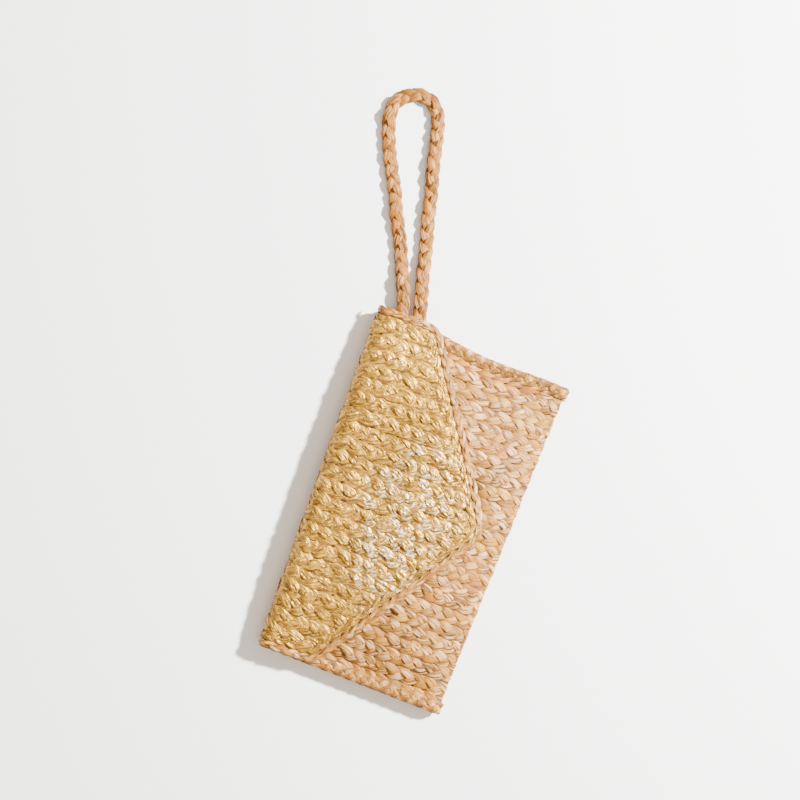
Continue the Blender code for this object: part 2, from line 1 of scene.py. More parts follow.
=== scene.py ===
"""The looks of an envelope clutch of sewn straw braid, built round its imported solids.

Every row of braid is a real three-strand plait, laid on the sheets' curved surfaces. The natural straw
is a husk with pale, tan and orange leaves, and the flap's straw is brushed with gold paint. Sizes are in
metres, in the solids' frame: +X to the wrist loop, +Y to the top fold and +Z out of the flap.
"""

import functools
import logging
import math
from collections.abc import Callable
from dataclasses import dataclass
from enum import Enum
from typing import Protocol

import bmesh
import bpy
import numpy as np
from mathutils import Matrix, Vector


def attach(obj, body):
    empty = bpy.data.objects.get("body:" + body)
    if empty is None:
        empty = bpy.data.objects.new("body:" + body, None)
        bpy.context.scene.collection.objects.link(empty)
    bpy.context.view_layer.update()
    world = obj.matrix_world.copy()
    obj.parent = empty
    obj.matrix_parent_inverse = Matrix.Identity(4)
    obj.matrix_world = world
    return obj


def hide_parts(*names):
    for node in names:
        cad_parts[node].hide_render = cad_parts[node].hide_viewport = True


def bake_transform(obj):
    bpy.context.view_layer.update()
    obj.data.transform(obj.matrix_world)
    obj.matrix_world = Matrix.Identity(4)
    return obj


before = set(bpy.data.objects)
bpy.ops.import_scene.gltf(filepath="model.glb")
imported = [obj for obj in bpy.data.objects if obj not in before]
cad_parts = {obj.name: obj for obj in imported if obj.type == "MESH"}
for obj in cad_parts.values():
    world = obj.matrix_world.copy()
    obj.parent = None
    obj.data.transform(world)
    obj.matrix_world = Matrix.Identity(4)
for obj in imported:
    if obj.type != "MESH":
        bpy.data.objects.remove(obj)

log = logging.getLogger("clutch")

FULL_TURN = 2 * math.pi

# How far apart the leaves' pieces of one fibre pattern are, and how far along it a strand may start
LEAF_APART = 7.3
PATTERN_RANGE = 10.0

# A shader colour, and how often a pattern repeats in a metre along each axis
RGBA = tuple[float, float, float, float]
Grain = tuple[float, float, float]

# Numbers for many points at once, a value worked out for places across and along a bed, and the places
# there of a cloth's own shares of width and length
Array = np.ndarray
PerPoint = Callable[[Array, Array], Array]
Spots = Callable[[Array, Array], tuple[Array, Array]]


def smooth(t: Array) -> Array:
    """0 below 0, 1 above 1 and an S-shaped rise between."""
    t = np.clip(t, 0.0, 1.0)
    return t * t * (3 - 2 * t)


def travelled(points: Array) -> Array:
    """How far along a line each of its points is."""
    return np.concatenate([[0.0], np.cumsum(np.linalg.norm(np.diff(points, axis=0), axis=1))])


def gridded(rows: list[tuple[Array, ...]]) -> Array:
    """Rows of X, Y and Z values as a grid of rows by columns by 3."""
    return np.array([np.stack(row, axis=1) for row in rows])


@dataclass(frozen=True)
class Form:
    """The clutch's curved shape, from the same sizes and height formulas as its solids."""

    width: float = 0.265
    height: float = 0.150
    slant: float = 0.045
    taper: float = 0.035
    narrowing: float = 0.029
    bow: float = 0.0038
    bow_start: float = 0.025
    straw: float = 0.0030
    lining: float = 0.0006
    clearance: float = 0.0003
    puff: float = 0.0105
    puff_skew: float = 0.72
    mouth_rise: float = 0.0045
    pillow_power: float = 3.5
    back_roll: float = 0.018
    seam_rise: float = 0.0006
    bottom_reach: float = 0.0050
    top_reach: float = 0.0100
    mouth_gap: float = 0.0130
    binding_wall: float = 0.0016
    binding_reach: float = 0.0060
    binding_blend: float = 0.0150
    flap_depth: float = 0.1270
    flap_side: float = 0.0480
    flap_far_side: float = 0.0435
    flap_corner: float = 0.0170
    flap_tip: float = 0.0220
    border: float = 0.0110
    rest_gap: float = 0.0005
    snap_above_tip: float = 0.0300
    snap_radius: float = 0.0090
    snap_flat: float = 0.0120
    snap_blend: float = 0.0260
    snap_dent: float = 0.0054
    snap_stack: float = 0.0061
    arc_points: int = 9

    @property
    def side(self) -> float:
        """Half the width."""
        return self.width / 2

    @property
    def seam_x(self) -> float:
        """Where the panels' side edges lie inside the binding."""
        return self.side - self.binding_wall - self.clearance

    @property
    def pillow_x(self) -> float:
        """Where the swelling starts."""
        return self.seam_x - self.binding_reach

    @property
    def top_y(self) -> float:
        """The top fold's outer line."""
        return self.height / 2

    @property
    def fold_y(self) -> float:
        """Where the top fold starts to curve."""
        return self.top_y - self.top_reach

    @property
    def mouth_y(self) -> float:
        """The front panel's top edge."""
        return self.top_y - self.mouth_gap

    @property
    def bottom_y(self) -> float:
        """Where the bottom fold starts to curve."""
        return self.bottom_reach - self.height / 2

    @property
    def snap_y(self) -> float:
        """The snap's middle."""
        return self.top_y - self.flap_depth + self.snap_above_tip

    @property
    def hem(self) -> float:
        """How far a folded binding stands off the sheets inside it."""
        return self.binding_wall + self.clearance

    @property
    def seam_base(self) -> float:
        """The underside of the sheets in the side seam."""
        return self.seam_rise + self.hem

    @property
    def seam_top(self) -> float:
        """The outer side of the sheets in the side seam."""
        return self.seam_base + 2 * (self.straw + self.lining) + 3 * self.clearance

    @property
    def flap_stack(self) -> float:
        """How far the flap's outer side stands off the front panel's."""
        return self.straw + self.clearance + self.lining + self.rest_gap

    @property
    def hinge_z(self) -> float:
        """The height of the line that the flap turns about."""
        return float(self.fold(np.array([0.0, self.side]))[0].mean())

    def fold_angle(self, x: Array, depth: float) -> Array:
        """Where the hinge line lies round the top fold, this far inside its outer side."""
        middle, half = self.fold(x)
        return np.arcsin((self.hinge_z - middle) / (half - depth))

    def round_fold(self, x: Array, angle: Array, depth: float) -> tuple[Array, Array]:
        """The Y and the height at an angle round the top fold, this far inside its outer side."""
        middle, half = self.fold(x)
        y = self.fold_y + (self.top_reach - depth) * np.cos(angle)
        return y, middle + (half - depth) * np.sin(angle)

    def seam_inset(self, down: Array) -> Array:
        """How far in from the leaning line the loop's seam runs, this far down from the top fold."""
        share = np.clip((down - self.bow_start) / (self.height - self.bow_start), 0.0, 1.0)
        return self.narrowing * down + self.bow * np.sin(math.pi * share) ** 2

    def sewn(self, x: Array, y: Array) -> tuple[Array, Array]:
        """Where a point of the squared-up body lies on the body as it was sewn."""
        down = (self.top_y - y) * (1 + self.taper * x / self.side)
        return x - self.slant * down - self.seam_inset(down) * (1 + x / self.side) / 2, self.top_y - down

    def sewn_grid(self, rows: list[tuple[Array, ...]]) -> Array:
        """Rows of the squared-up body's X, Y and Z values as a grid of the sewn body's places."""
        grid = gridded(rows)
        grid[..., 0], grid[..., 1] = self.sewn(grid[..., 0], grid[..., 1])
        return grid

    def squared(self, x: Array, y: Array) -> tuple[Array, Array]:
        """The point of the squared-up body that lies at this point of the sewn one."""
        down = self.top_y - y
        inset = self.seam_inset(down) / 2
        x = (x + self.slant * down + inset) / (1 - inset / self.side)
        return x, self.top_y - down / (1 + self.taper * x / self.side)

    def near_snap(self, x: Array, y: Array) -> Array:
        """1 over the snap and close round it, falling to 0 some way off."""
        x, y = self.sewn(x, y)
        away = np.hypot(x, y - self.snap_y) - self.snap_radius - self.snap_flat
        return 1 - smooth(away / self.snap_blend)

    def near_binding(self, x: Array, y: Array) -> Array:
        """1 over the braid that binds the side seams and the mouth."""
        blend = self.binding_blend
        at_side = smooth((np.abs(x) - self.pillow_x + blend) / blend)
        at_mouth = smooth((y - self.mouth_y + self.binding_reach + blend) / blend)
        return 1 - (1 - at_side) * (1 - at_mouth)

    def back(self, x: Array, y: Array) -> Array:
        """The back panel's underside."""
        at_side = smooth((np.abs(x) - self.pillow_x + self.back_roll) / self.back_roll)
        at_bottom = smooth((self.bottom_y + self.back_roll - y) / self.back_roll)
        return self.seam_base * (1 - (1 - at_side) * (1 - at_bottom))

    def pillow(self, x: Array, y: Array) -> Array:
        """The outer side that the stuffing alone gives the front panel."""
        across = 1 - np.minimum(1.0, np.abs(x) / self.pillow_x) ** self.pillow_power
        up = np.clip((y - self.bottom_y) / (self.mouth_y - self.bottom_y), 0.0, 1.0)
        swell = self.puff * np.sin(math.pi * up**self.puff_skew) + self.mouth_rise * smooth(up)
        return self.seam_top + across * swell

    def front(self, x: Array, y: Array) -> Array:
        """The front panel's outer side, pressed flat round the snap."""
        pillow = self.pillow(x, y)
        snap = self.squared(np.array(0.0), np.array(self.snap_y))
        level = self.pillow(*snap) - self.snap_dent
        return pillow + (level - pillow) * self.near_snap(x, y)

    def flap(self, x: Array, y: Array) -> Array:
        """The flap's outer side."""
        lift = self.flap_stack + self.hem * self.near_binding(x, y) + self.snap_stack * self.near_snap(x, y)
        return self.front(x, np.minimum(y, self.mouth_y)) + lift

    def fold(self, x: Array) -> tuple[Array, Array]:
        """The middle height and the half thickness of the top fold."""
        y = np.full_like(x, self.fold_y)
        low, high = self.back(x, y), self.flap(x, y)
        return (low + high) / 2, (high - low) / 2

    def flap_half(self, inset: float, side: int) -> Array:
        """Half of the flap's outline in plan, from the top fold down to the tip.

        Args:
            inset: how far inside the flap's edge the outline runs.
            side: 1 for the loop's half and -1 for the other.

        Returns:
            (x, y) points.
        """
        corner = np.array([self.side, self.top_y - (self.flap_side if side > 0 else self.flap_far_side)])
        tip = np.array([0.0, self.top_y - self.flap_depth + self.flap_tip])
        run = tip - corner
        bearing = math.atan2(run[1], run[0]) + math.asin(self.flap_tip / np.hypot(*run))
        slope = np.array([math.cos(bearing), math.sin(bearing)])
        half = math.acos(slope[1]) / 2
        inward = np.array([slope[0], slope[1] + 1])
        centre = corner + inward / np.hypot(*inward) * self.flap_corner / math.sin(half)
        facing = bearing + math.pi / 2 - (FULL_TURN if bearing > 0 else 0)
        points = [np.array([[self.side - inset, self.fold_y]])]
        for middle, radius, first, last in (
            (centre, self.flap_corner, 0.0, facing),
            (tip, self.flap_tip, facing, -math.pi / 2),
        ):
            angles = np.linspace(first, last, self.arc_points)
            points.append(middle + (radius - inset) * np.stack([np.cos(angles), np.sin(angles)], axis=1))
        return np.concatenate(points) * np.array([side, 1.0])


class Bed(Protocol):
    """Something curved that a row of braid is laid on."""

    def lay(self, across: Array, along: Array, out: Array) -> Array:
        """Lays points on the bed.

        Args:
            across: how far across the bed each point is.
            along: how far along it.
            out: how far out of it.

        Returns:
            The points' places.
        """


class Sheet:
    """A curved sheet, held as a fine grid of points with the direction out of it at each."""

    def __init__(self, points: Array, across: Array, flip: bool = False) -> None:
        """Takes a grid, whose rows are as far along the sheet as their points in its middle column.

        Args:
            points: the grid's places, rows by columns by 3.
            across: each column's coordinate.
            flip: turns the direction out of the sheet round.
        """
        self.points = points
        self.across = across
        self.middle = points[:, points.shape[1] // 2]
        self.along = travelled(self.middle)
        outward = np.cross(np.gradient(points, axis=0), np.gradient(points, axis=1))
        outward /= np.linalg.norm(outward, axis=2, keepdims=True)
        self.outward = -outward if flip else outward

    @property
    def length(self) -> float:
        """The sheet's length along its middle."""
        return float(self.along[-1])

    def lay(self, across: Array, along: Array, out: Array) -> Array:
        """Lays points on the sheet.

        Args:
            across: each point's place in the columns' coordinate.
            along: how far down the middle column it is.
            out: how far out of the sheet.

        Returns:
            The points' places.
        """
        row = np.interp(along, self.along, np.arange(len(self.along)))
        column = np.interp(across, self.across, np.arange(len(self.across)))
        r = np.minimum(row.astype(int), len(self.along) - 2)
        c = np.minimum(column.astype(int), len(self.across) - 2)
        fr, fc = (row - r)[:, None], (column - c)[:, None]

        def mixed(grid: Array) -> Array:
            """A value at each point, between those of the four grid points round it."""
            near = grid[r, c] * (1 - fc) + grid[r, c + 1] * fc
            far = grid[r + 1, c] * (1 - fc) + grid[r + 1, c + 1] * fc
            return near * (1 - fr) + far * fr

        outward = mixed(self.outward)
        outward /= np.linalg.norm(outward, axis=1, keepdims=True)
        return mixed(self.points) + outward * out[:, None]


@dataclass(frozen=True)
class Fan:
    """A sheet whose rows of braid draw apart from its start onwards."""

    sheet: Sheet
    gain: float
    reach: float = 0.020

    def widened(self, across: Array, along: Array) -> Array:
        """How far across the sheet a row comes, this far along it."""
        return across * (1 + self.gain * smooth(along / self.reach))

    def lay(self, across: Array, along: Array, out: Array) -> Array:
        """The places of points given across the fan, along it and out of it."""
        return self.sheet.lay(self.widened(across, along), along, out)


class Path:
    """A line through space with a level direction across it, for the wrist loop."""

    def __init__(self, points: Array) -> None:
        """Takes the line's points."""
        self.points = points
        self.along = travelled(points)
        heading = np.gradient(points, axis=0)
        heading /= np.linalg.norm(heading, axis=1, keepdims=True)
        level = np.cross(np.array([0.0, 0.0, 1.0]), heading)
        self.level = level / np.linalg.norm(level, axis=1, keepdims=True)
        self.up = np.cross(heading, self.level)

    @property
    def length(self) -> float:
        """The line's length."""
        return float(self.along[-1])

    def lay(self, across: Array, along: Array, out: Array) -> Array:
        """The places of points given across the line, along it and over it."""

        def at(values: Array) -> Array:
            """A value at each point along the line."""
            return np.stack([np.interp(along, self.along, values[:, k]) for k in range(3)], axis=1)

        return at(self.points) + at(self.level) * across[:, None] + at(self.up) * out[:, None]


class Term:
    """A value on a shader socket, with the arithmetic that adds its Math nodes."""

    def __init__(self, net: "Net", socket: bpy.types.NodeSocket) -> None:
        """Wraps an output socket of a net."""
        self.net = net
        self.socket = socket

    def _math(self, operation: str, *terms: "Term | float", clamp: bool = False) -> "Term":
        """One Math node."""
        settings = {"operation": operation, "use_clamp": clamp}
        return self.net.node("ShaderNodeMath", settings, dict(enumerate(terms)))

    def __add__(self, other: "Term | float") -> "Term":
        """self + other."""
        return self._math("ADD", self, other)

    __radd__ = __add__

    def __sub__(self, other: "Term | float") -> "Term":
        """self - other."""
        return self._math("SUBTRACT", self, other)

    def __rsub__(self, other: "Term | float") -> "Term":
        """other - self."""
        return self._math("SUBTRACT", other, self)

    def __mul__(self, other: "Term | float") -> "Term":
        """self * other."""
        return self._math("MULTIPLY", self, other)

    __rmul__ = __mul__

    def clamped(self) -> "Term":
        """Held between 0 and 1."""
        return self._math("ADD", self, 0.0, clamp=True)

    def sine(self) -> "Term":
        """Its sine."""
        return self._math("SINE", self)

    def between(self, low: float, high: float) -> "Term":
        """0 where the value is low or less, 1 where it is high or more."""
        return ((self - low) * (1 / (high - low))).clamped()


class Net:
    """A material's node tree with its Principled shader."""

    def __init__(self, name: str) -> None:
        """Makes an empty material of this name."""
        self.material = bpy.data.materials.new(name)
        self.material.use_nodes = True
        self.tree = self.material.node_tree
        self.shader = self.tree.nodes["Principled BSDF"]

    def node(
        self, kind: str, settings: dict[str, object], inputs: dict[object, object], output: int | str = 0
    ) -> Term:
        """Adds a node.

        Args:
            kind: the node's type.
            settings: its properties.
            inputs: a value or a Term for each input socket, by name or number.
            output: the output socket that the Term stands for.

        Returns:
            The Term of that output.
        """
        made = self.tree.nodes.new(kind)
        for key, value in settings.items():
            setattr(made, key, value)
        for key, value in inputs.items():
            self.feed(made.inputs[key], value)
        return Term(self, made.outputs[output])

    def feed(self, socket: bpy.types.NodeSocket, value: object) -> None:
        """Links a Term to an input socket, or sets the socket's own value."""
        if isinstance(value, Term):
            self.tree.links.new(value.socket, socket)
        else:
            socket.default_value = value

    def set(self, **values: object) -> None:
        """Feeds the Principled shader's sockets, named in lower case with underscores."""
        names = {socket.name.lower().replace(" ", "_"): socket for socket in self.shader.inputs}
        for key, value in values.items():
            self.feed(names[key], value)

    def colour(self, factor: Term | float, first: object, second: object, blend: str = "MIX") -> Term:
        """Two colours mixed, the first where the factor is 0."""
        settings = {"data_type": "RGBA", "blend_type": blend, "clamp_factor": True}
        return self.node("ShaderNodeMix", settings, {0: factor, 6: first, 7: second}, 2)

    def noise(self, place: Term, scale: float, detail: float = 2.0, roughness: float = 0.5) -> Term:
        """A noise value."""
        inputs = {"Vector": place, "Scale": scale, "Detail": detail, "Roughness": roughness}
        return self.node("ShaderNodeTexNoise", {}, inputs)

    def grain(self, place: Term, grain: Grain, detail: float, roughness: float) -> Term:
        """A noise value that repeats at its own rate along each axis."""
        scaled = self.node("ShaderNodeVectorMath", {"operation": "MULTIPLY"}, {0: place, 1: grain})
        return self.noise(scaled, 1.0, detail, roughness)

    def attribute(self, name: str, output: str) -> Term:
        """One of the mesh's own attributes."""
        return self.node("ShaderNodeAttribute", {"attribute_name": name}, {}, output)

    def objects_place(self) -> Term:
        """The place on the piece."""
        return self.node("ShaderNodeTexCoord", {}, {}, "Object")

    def parts(self, colour: Term) -> tuple[Term, Term, Term]:
        """A colour's three values."""
        split = self.node("ShaderNodeSeparateColor", {}, {"Color": colour})
        outputs = split.socket.node.outputs
        return Term(self, outputs[0]), Term(self, outputs[1]), Term(self, outputs[2])

    def bump(self, height: Term, distance: float, strength: float = 1.0, normal: Term | None = None) -> Term:
        """A Bump node."""
        inputs: dict[object, object] = {"Height": height, "Distance": distance, "Strength": strength}
        if normal is not None:
            inputs["Normal"] = normal
        return self.node("ShaderNodeBump", {}, inputs)


def rgb(red: int, green: int, blue: int) -> RGBA:
    """A shader colour from the 0 to 255 values of a colour chart."""

    def linear(value: int) -> float:
        """One channel's share of full light."""
        share = value / 255
        return share / 12.92 if share <= 0.04045 else ((share + 0.055) / 1.055) ** 2.4

    return linear(red), linear(green), linear(blue), 1.0


@dataclass(frozen=True)
class HuskFinish:
    """Dried husk: leaves from pale to orange, with fibres, amber margins, a pale skin painted on their crowns
    as sheen, and painted shade where they dip and at their edges.

    The grains are how often each pattern repeats in a metre, across a leaf, along it and through it.
    """

    name: str
    pale: RGBA = rgb(165, 115, 36)
    tan: RGBA = rgb(142, 92, 28)
    orange: RGBA = rgb(142, 74, 16)
    amber: RGBA = rgb(162, 106, 28)
    # the pale husk skin, painted on the raised leaf crowns as their sheen
    sheen_skin: RGBA = rgb(198, 158, 114)
    # dark pith for the fibre lines, and also the colour of the painted shade in crevices
    pith_and_shade: RGBA = rgb(58, 34, 18)
    tint: RGBA = rgb(255, 228, 200)
    roughness: float = 0.46
    fibre_grain: Grain = (560.0, 42.0, 1.0)
    band_grain: Grain = (210.0, 60.0, 1.0)
    crumple_grain: Grain = (420.0, 210.0, 1.0)
    relief: float = 0.0010

    def straw(self, net: Net) -> tuple[Term, Term, Term]:
        """The husk's colour with its painted sheen and painted shade, its fibres and its crumples.

        Args:
            net: the material that the nodes are added to.

        Returns:
            The colour, the fibres' value and the crumples' value.
        """
        place = net.attribute("fibre", "Vector")
        warmth, light, seed = net.parts(net.attribute("leaf", "Color"))
        raised = net.attribute("leaf", "Alpha")
        margin = net.attribute("margin", "Fac")
        fibres = net.grain(place, self.fibre_grain, 3.0, 0.62)
        bands = net.grain(place, self.band_grain, 2.0, 0.5)
        crumples = net.grain(place, self.crumple_grain, 3.0, 0.6)
        base = net.colour(warmth * 2.0, self.pale, self.tan)
        base = net.colour(warmth * 2.0 - 1.0, base, self.orange)
        base = net.colour(margin.between(0.4, 1.0) * 0.4 + bands.between(0.45, 0.7) * 0.4, base, self.amber)
        base = net.colour((1.0 - fibres).between(0.46, 0.54) * 0.55, base, self.amber)
        # painted sheen: the pale skin colour goes on raised leaf crowns, in place of their highlight
        sheen_skin = raised.between(0.3, 1.0) * fibres.between(0.46, 0.56) * (1.0 - margin.between(0.6, 1.0))
        base = net.colour(sheen_skin * seed.between(0.1, 0.8), base, self.sheen_skin)
        base = net.colour((1.0 - fibres).between(0.52, 0.59) * (0.4 + 0.5 * seed), base, self.pith_and_shade)
        # painted shade: darker where a strand dips under its neighbours and at its edges
        painted_shade = (1.0 - raised) * 0.45 + margin.between(0.88, 1.0) * 0.4
        base = net.colour(painted_shade, base, self.pith_and_shade)
        grey = net.node("ShaderNodeCombineColor", {}, {0: light, 1: light, 2: light})
        return net.colour(1.0, base, grey, "MULTIPLY"), fibres, crumples

    def make(self) -> bpy.types.Material:
        """Builds the material."""
        net = Net(self.name)
        base, fibres, crumples = self.straw(net)
        net.set(
            base_color=base,
            roughness=(self.roughness - 0.15) + 0.4 * fibres,
            normal=net.bump(crumples, self.relief, 0.7, net.bump(fibres, self.relief, 0.9)),
            specular_ior_level=0.36,
            specular_tint=self.tint,
        )
        return net.material


@dataclass(frozen=True)
class GiltFinish:
    """Husk brushed with gold paint, which misses the crevices and part of the leaves, with painted glints in
    a patch of it.
    """

    name: str
    husk: HuskFinish
    dark: RGBA = rgb(142, 101, 34)
    gold: RGBA = rgb(184, 136, 42)
    bright: RGBA = rgb(220, 178, 80)
    # near-white paint for the painted glints
    glint_white: RGBA = rgb(255, 236, 196)
    metallic: float = 0.45
    roughness: float = 0.40
    cover: float = 0.0
    # where the patch of painted glints lies and how far it reaches
    glint_patch_middle: tuple[float, float] = (-0.012, 0.004)
    glint_patch_reach: tuple[float, float] = (0.070, 0.040)
    stroke_grain: Grain = (620.0, 150.0, 1.0)
    fleck_grain: Grain = (820.0, 330.0, 1.0)
    fold_grain: Grain = (420.0, 170.0, 1.0)
    fold_relief: float = 0.0018

    def glint_patch(self, net: Net) -> Term:
        """Where the glints are painted, in a patch where the key lamp's highlight falls.

        Args:
            net: the material that the nodes are added to.

        Returns:
            1 in the middle of the patch of painted glints, where the paint is also a little smoother, falling
            to 0 round it.
        """
        place = net.objects_place()
        x, y, _ = net.parts(place)
        across = (x - self.glint_patch_middle[0]) * (1 / self.glint_patch_reach[0])
        along = (y - self.glint_patch_middle[1]) * (1 / self.glint_patch_reach[1])
        patchy = net.noise(place, 45.0, 2.0)
        return (1.0 - across * across - along * along + 1.6 * (patchy - 0.5)).between(-0.1, 1.1)

    def make(self) -> bpy.types.Material:
        """Builds the material."""
        net = Net(self.name)
        base, fibres, crumples = self.husk.straw(net)
        place = net.attribute("fibre", "Vector")
        seed = net.parts(net.attribute("leaf", "Color"))[2]
        raised = net.attribute("leaf", "Alpha")
        margin = net.attribute("margin", "Fac")
        strokes = net.grain(place, self.stroke_grain, 3.0, 0.6)
        flecks = net.grain(place, self.fleck_grain, 1.0, 0.5)
        folds = net.grain(place, self.fold_grain, 1.5, 0.6)
        paint = (strokes + 0.3 * seed + 0.5 * raised - 0.2 * margin + (self.cover - 0.1)).between(0.36, 0.56)
        metal = net.colour(strokes.between(0.38, 0.52), self.dark, self.gold)
        metal = net.colour((0.6 * strokes + 0.4 * flecks).between(0.52, 0.62) * 0.8, metal, self.bright)
        glint_patch = self.glint_patch(net)
        # painted glints: near-white paint on raised leaves inside the patch, standing in for the key lamp's
        # highlight
        glints = (0.65 * flecks + 0.35 * strokes).between(0.48, 0.54) * raised.between(0.6, 0.95)
        glints = glints * seed.between(0.1, 0.6) * glint_patch
        metal = net.colour(glints, metal, self.glint_white)
        metal = net.colour((1.0 - fibres).between(0.50, 0.58) * 0.6, metal, self.husk.pith_and_shade)
        crumpled = net.bump(crumples, 0.0010, 0.8, net.bump(fibres, 0.0008, 0.9))
        net.set(
            base_color=net.colour(paint, base, metal),
            metallic=paint * (self.metallic - 0.2 * glints),
            roughness=self.roughness + 0.3 * (1.0 - paint) + 0.2 * (flecks - 0.5) - 0.1 * glint_patch,
            specular_ior_level=0.4,
            normal=net.bump(folds, self.fold_relief, 1.0, crumpled),
            specular_tint=self.husk.tint,
        )
        return net.material


@dataclass(frozen=True)
class ClothFinish:
    """Plain woven cotton."""

    name: str
    thread: RGBA = rgb(200, 180, 142)
    gap: RGBA = rgb(150, 126, 90)
    weave: float = 0.0006

    def make(self) -> bpy.types.Material:
        """Builds the material."""
        net = Net(self.name)
        place = net.objects_place()
        x, y, _ = net.parts(place)
        turns = FULL_TURN / self.weave
        cloth = ((x * turns).sine() * (y * turns).sine() * 0.5 + 0.5).clamped()
        slub = net.noise(place, 300.0, 3.0)
        net.set(
            base_color=net.colour(cloth * 0.5 + slub * 0.4, self.gap, self.thread),
            roughness=0.85,
            normal=net.bump(cloth + slub * 0.6, 0.0002, 0.6),
            sheen_weight=0.3,
        )
        return net.material


@dataclass(frozen=True)
class MetalFinish:
    """Plated or bare metal with fine handling marks."""

    name: str
    base: RGBA
    worn: RGBA
    metallic: float
    roughness: float
    mark_grain: Grain = (300.0, 1400.0, 300.0)
    mark_depth: float = 0.00004

    def make(self) -> bpy.types.Material:
        """Builds the material."""
        net = Net(self.name)
        marks = net.grain(net.objects_place(), self.mark_grain, 3.0, 0.6)
        net.set(
            base_color=net.colour(marks.between(0.4, 0.8), self.base, self.worn),
            metallic=self.metallic,
            roughness=self.roughness + 0.18 * marks,
            normal=net.bump(marks, self.mark_depth, 0.4),
        )
        return net.material


class Finish(Enum):
    """The clutch's finishes, each with its own name and the record's material slot."""

    NATURAL = ("husk", "natural_straw")
    LOOP = ("loop husk", "natural_straw")
    PART_GILT = ("husk with stray gold", "natural_straw")
    GROUND = ("inner strands", "natural_straw")
    GILT = ("gilt husk", "gilt_straw")
    COTTON = ("cotton", "cotton_lining")
    BRASS = ("brass", "brass")
    STEEL = ("steel", "steel")
    MAGNET = ("magnet", "magnet")

    @property
    def slot(self) -> str:
        """The record's material slot."""
        return self.value[1]


class Wardrobe:
    """Makes each finish once and gives it out."""

    def __init__(self) -> None:
        """Builds the materials."""
        husk = HuskFinish("husk")
        loop = HuskFinish("loop_husk", pale=rgb(151, 94, 26), tan=rgb(128, 73, 15), sheen_skin=rgb(174, 119, 62))
        self.made = {
            Finish.NATURAL: husk.make(),
            Finish.LOOP: loop.make(),
            Finish.GILT: GiltFinish("gilt_husk", husk).make(),
            Finish.PART_GILT: GiltFinish("stray_gilt_husk", husk, cover=-0.16).make(),
            # the ground under the leaves is painted dark, as the shade that falls in the gaps between them
            Finish.GROUND: MetalFinish("straw_ground", rgb(120, 78, 44), rgb(150, 104, 62), 0.0, 0.7).make(),
            Finish.COTTON: ClothFinish("cotton").make(),
            Finish.BRASS: MetalFinish("snap_brass", rgb(214, 176, 104), rgb(235, 205, 145), 1.0, 0.2).make(),
            Finish.STEEL: MetalFinish("snap_steel", rgb(165, 165, 168), rgb(200, 200, 202), 1.0, 0.3).make(),
            Finish.MAGNET: MetalFinish("snap_magnet", rgb(52, 52, 54), rgb(78, 78, 80), 0.2, 0.55).make(),
        }

    def dress(self, piece: bpy.types.Object, finish: Finish) -> None:
        """Gives a piece its finish."""
        piece.data.materials.clear()
        piece.data.materials.append(self.made[finish])
        finish.slot


@functools.lru_cache(maxsize=None)
def strand_blank(sides: int, rings: int) -> tuple[Array, Array, list[tuple[int, ...]]]:
    """A straight strand, modelled once for each number of rings and copied into every plait.

    Args:
        sides: how many corners its section has.
        rings: how many sections it has along its length.

    Returns:
        Each vertex's angle round the section, its ring, and the faces.
    """
    bpy.ops.object.select_all(action="DESELECT")
    bpy.ops.mesh.primitive_cylinder_add(vertices=sides, radius=1, depth=1, location=(0, 0, 0))
    blank = bpy.context.object
    bpy.ops.object.mode_set(mode="EDIT")
    bpy.ops.mesh.select_mode(type="EDGE")
    mesh = bmesh.from_edit_mesh(blank.data)
    for edge in mesh.edges:
        edge.select_set(abs(edge.verts[0].co.z - edge.verts[1].co.z) > 0.5)
    bmesh.update_edit_mesh(blank.data)
    if rings > 2:
        bpy.ops.mesh.subdivide(number_cuts=rings - 2)
    bpy.ops.object.mode_set(mode="OBJECT")
    places = np.array([vertex.co[:] for vertex in blank.data.vertices])
    faces = [tuple(face.vertices) for face in blank.data.polygons]
    bpy.data.objects.remove(blank)
    angle = np.arctan2(places[:, 1], places[:, 0])
    return angle, np.rint((places[:, 2] + 0.5) * (rings - 1)).astype(int), faces


@dataclass(frozen=True)
class Plait:
    """A flat three-strand plait.

    A leaf is the length of a strand that shows between two crossings. The warmth and the light of the
    leaves are given as a mean and a spread, and a few odd leaves are much warmer than the rest.
    """

    swing: float
    rise: float
    strand: float
    thick: float
    pitch: float
    roll: float = 0.12
    sides: int = 10
    steps: int = 18
    uneven: float = 0.14
    taper: float = 0.16
    slimmest: float = 2.6
    ridge: float = 0.22
    swell: float = 0.28
    flat: float = 0.5
    drift: float = 0.05
    drift_lengths: tuple[float, ...] = (0.061, 0.037)
    wander: float = 0.65
    wander_lengths: tuple[float, ...] = (0.083, 0.041, 0.11)
    warmth: tuple[float, float] = (0.32, 0.28)
    raised: tuple[float, float] = (0.62, 0.75)
    odd_share: float = 0.18
    odd_warmth: float = 0.5
    light: tuple[float, float] = (0.98, 0.13)

    @classmethod
    def fitted(
        cls,
        width: float,
        depth: float,
        pitch: float,
        share: float = 0.47,
        lift: float = 0.20,
        fill: float = 0.94,
        **changes: object,
    ) -> "Plait":
        """A plait of this width and depth over all.

        Args:
            width: its width.
            depth: its thickness.
            pitch: the length in which each strand comes back to the same side.
            share: each strand's width, as a share of the plait's.
            lift: how far a strand rises over the others, as a share of the depth.
            fill: the part of the depth that its leaves take up at rest.
            changes: any other of the plait's fields.

        Returns:
            The plait.
        """
        strand = share * width
        thick = (fill - 2 * lift) * depth
        return cls((width - strand) / 2, lift * depth, strand, thick, pitch, **changes)


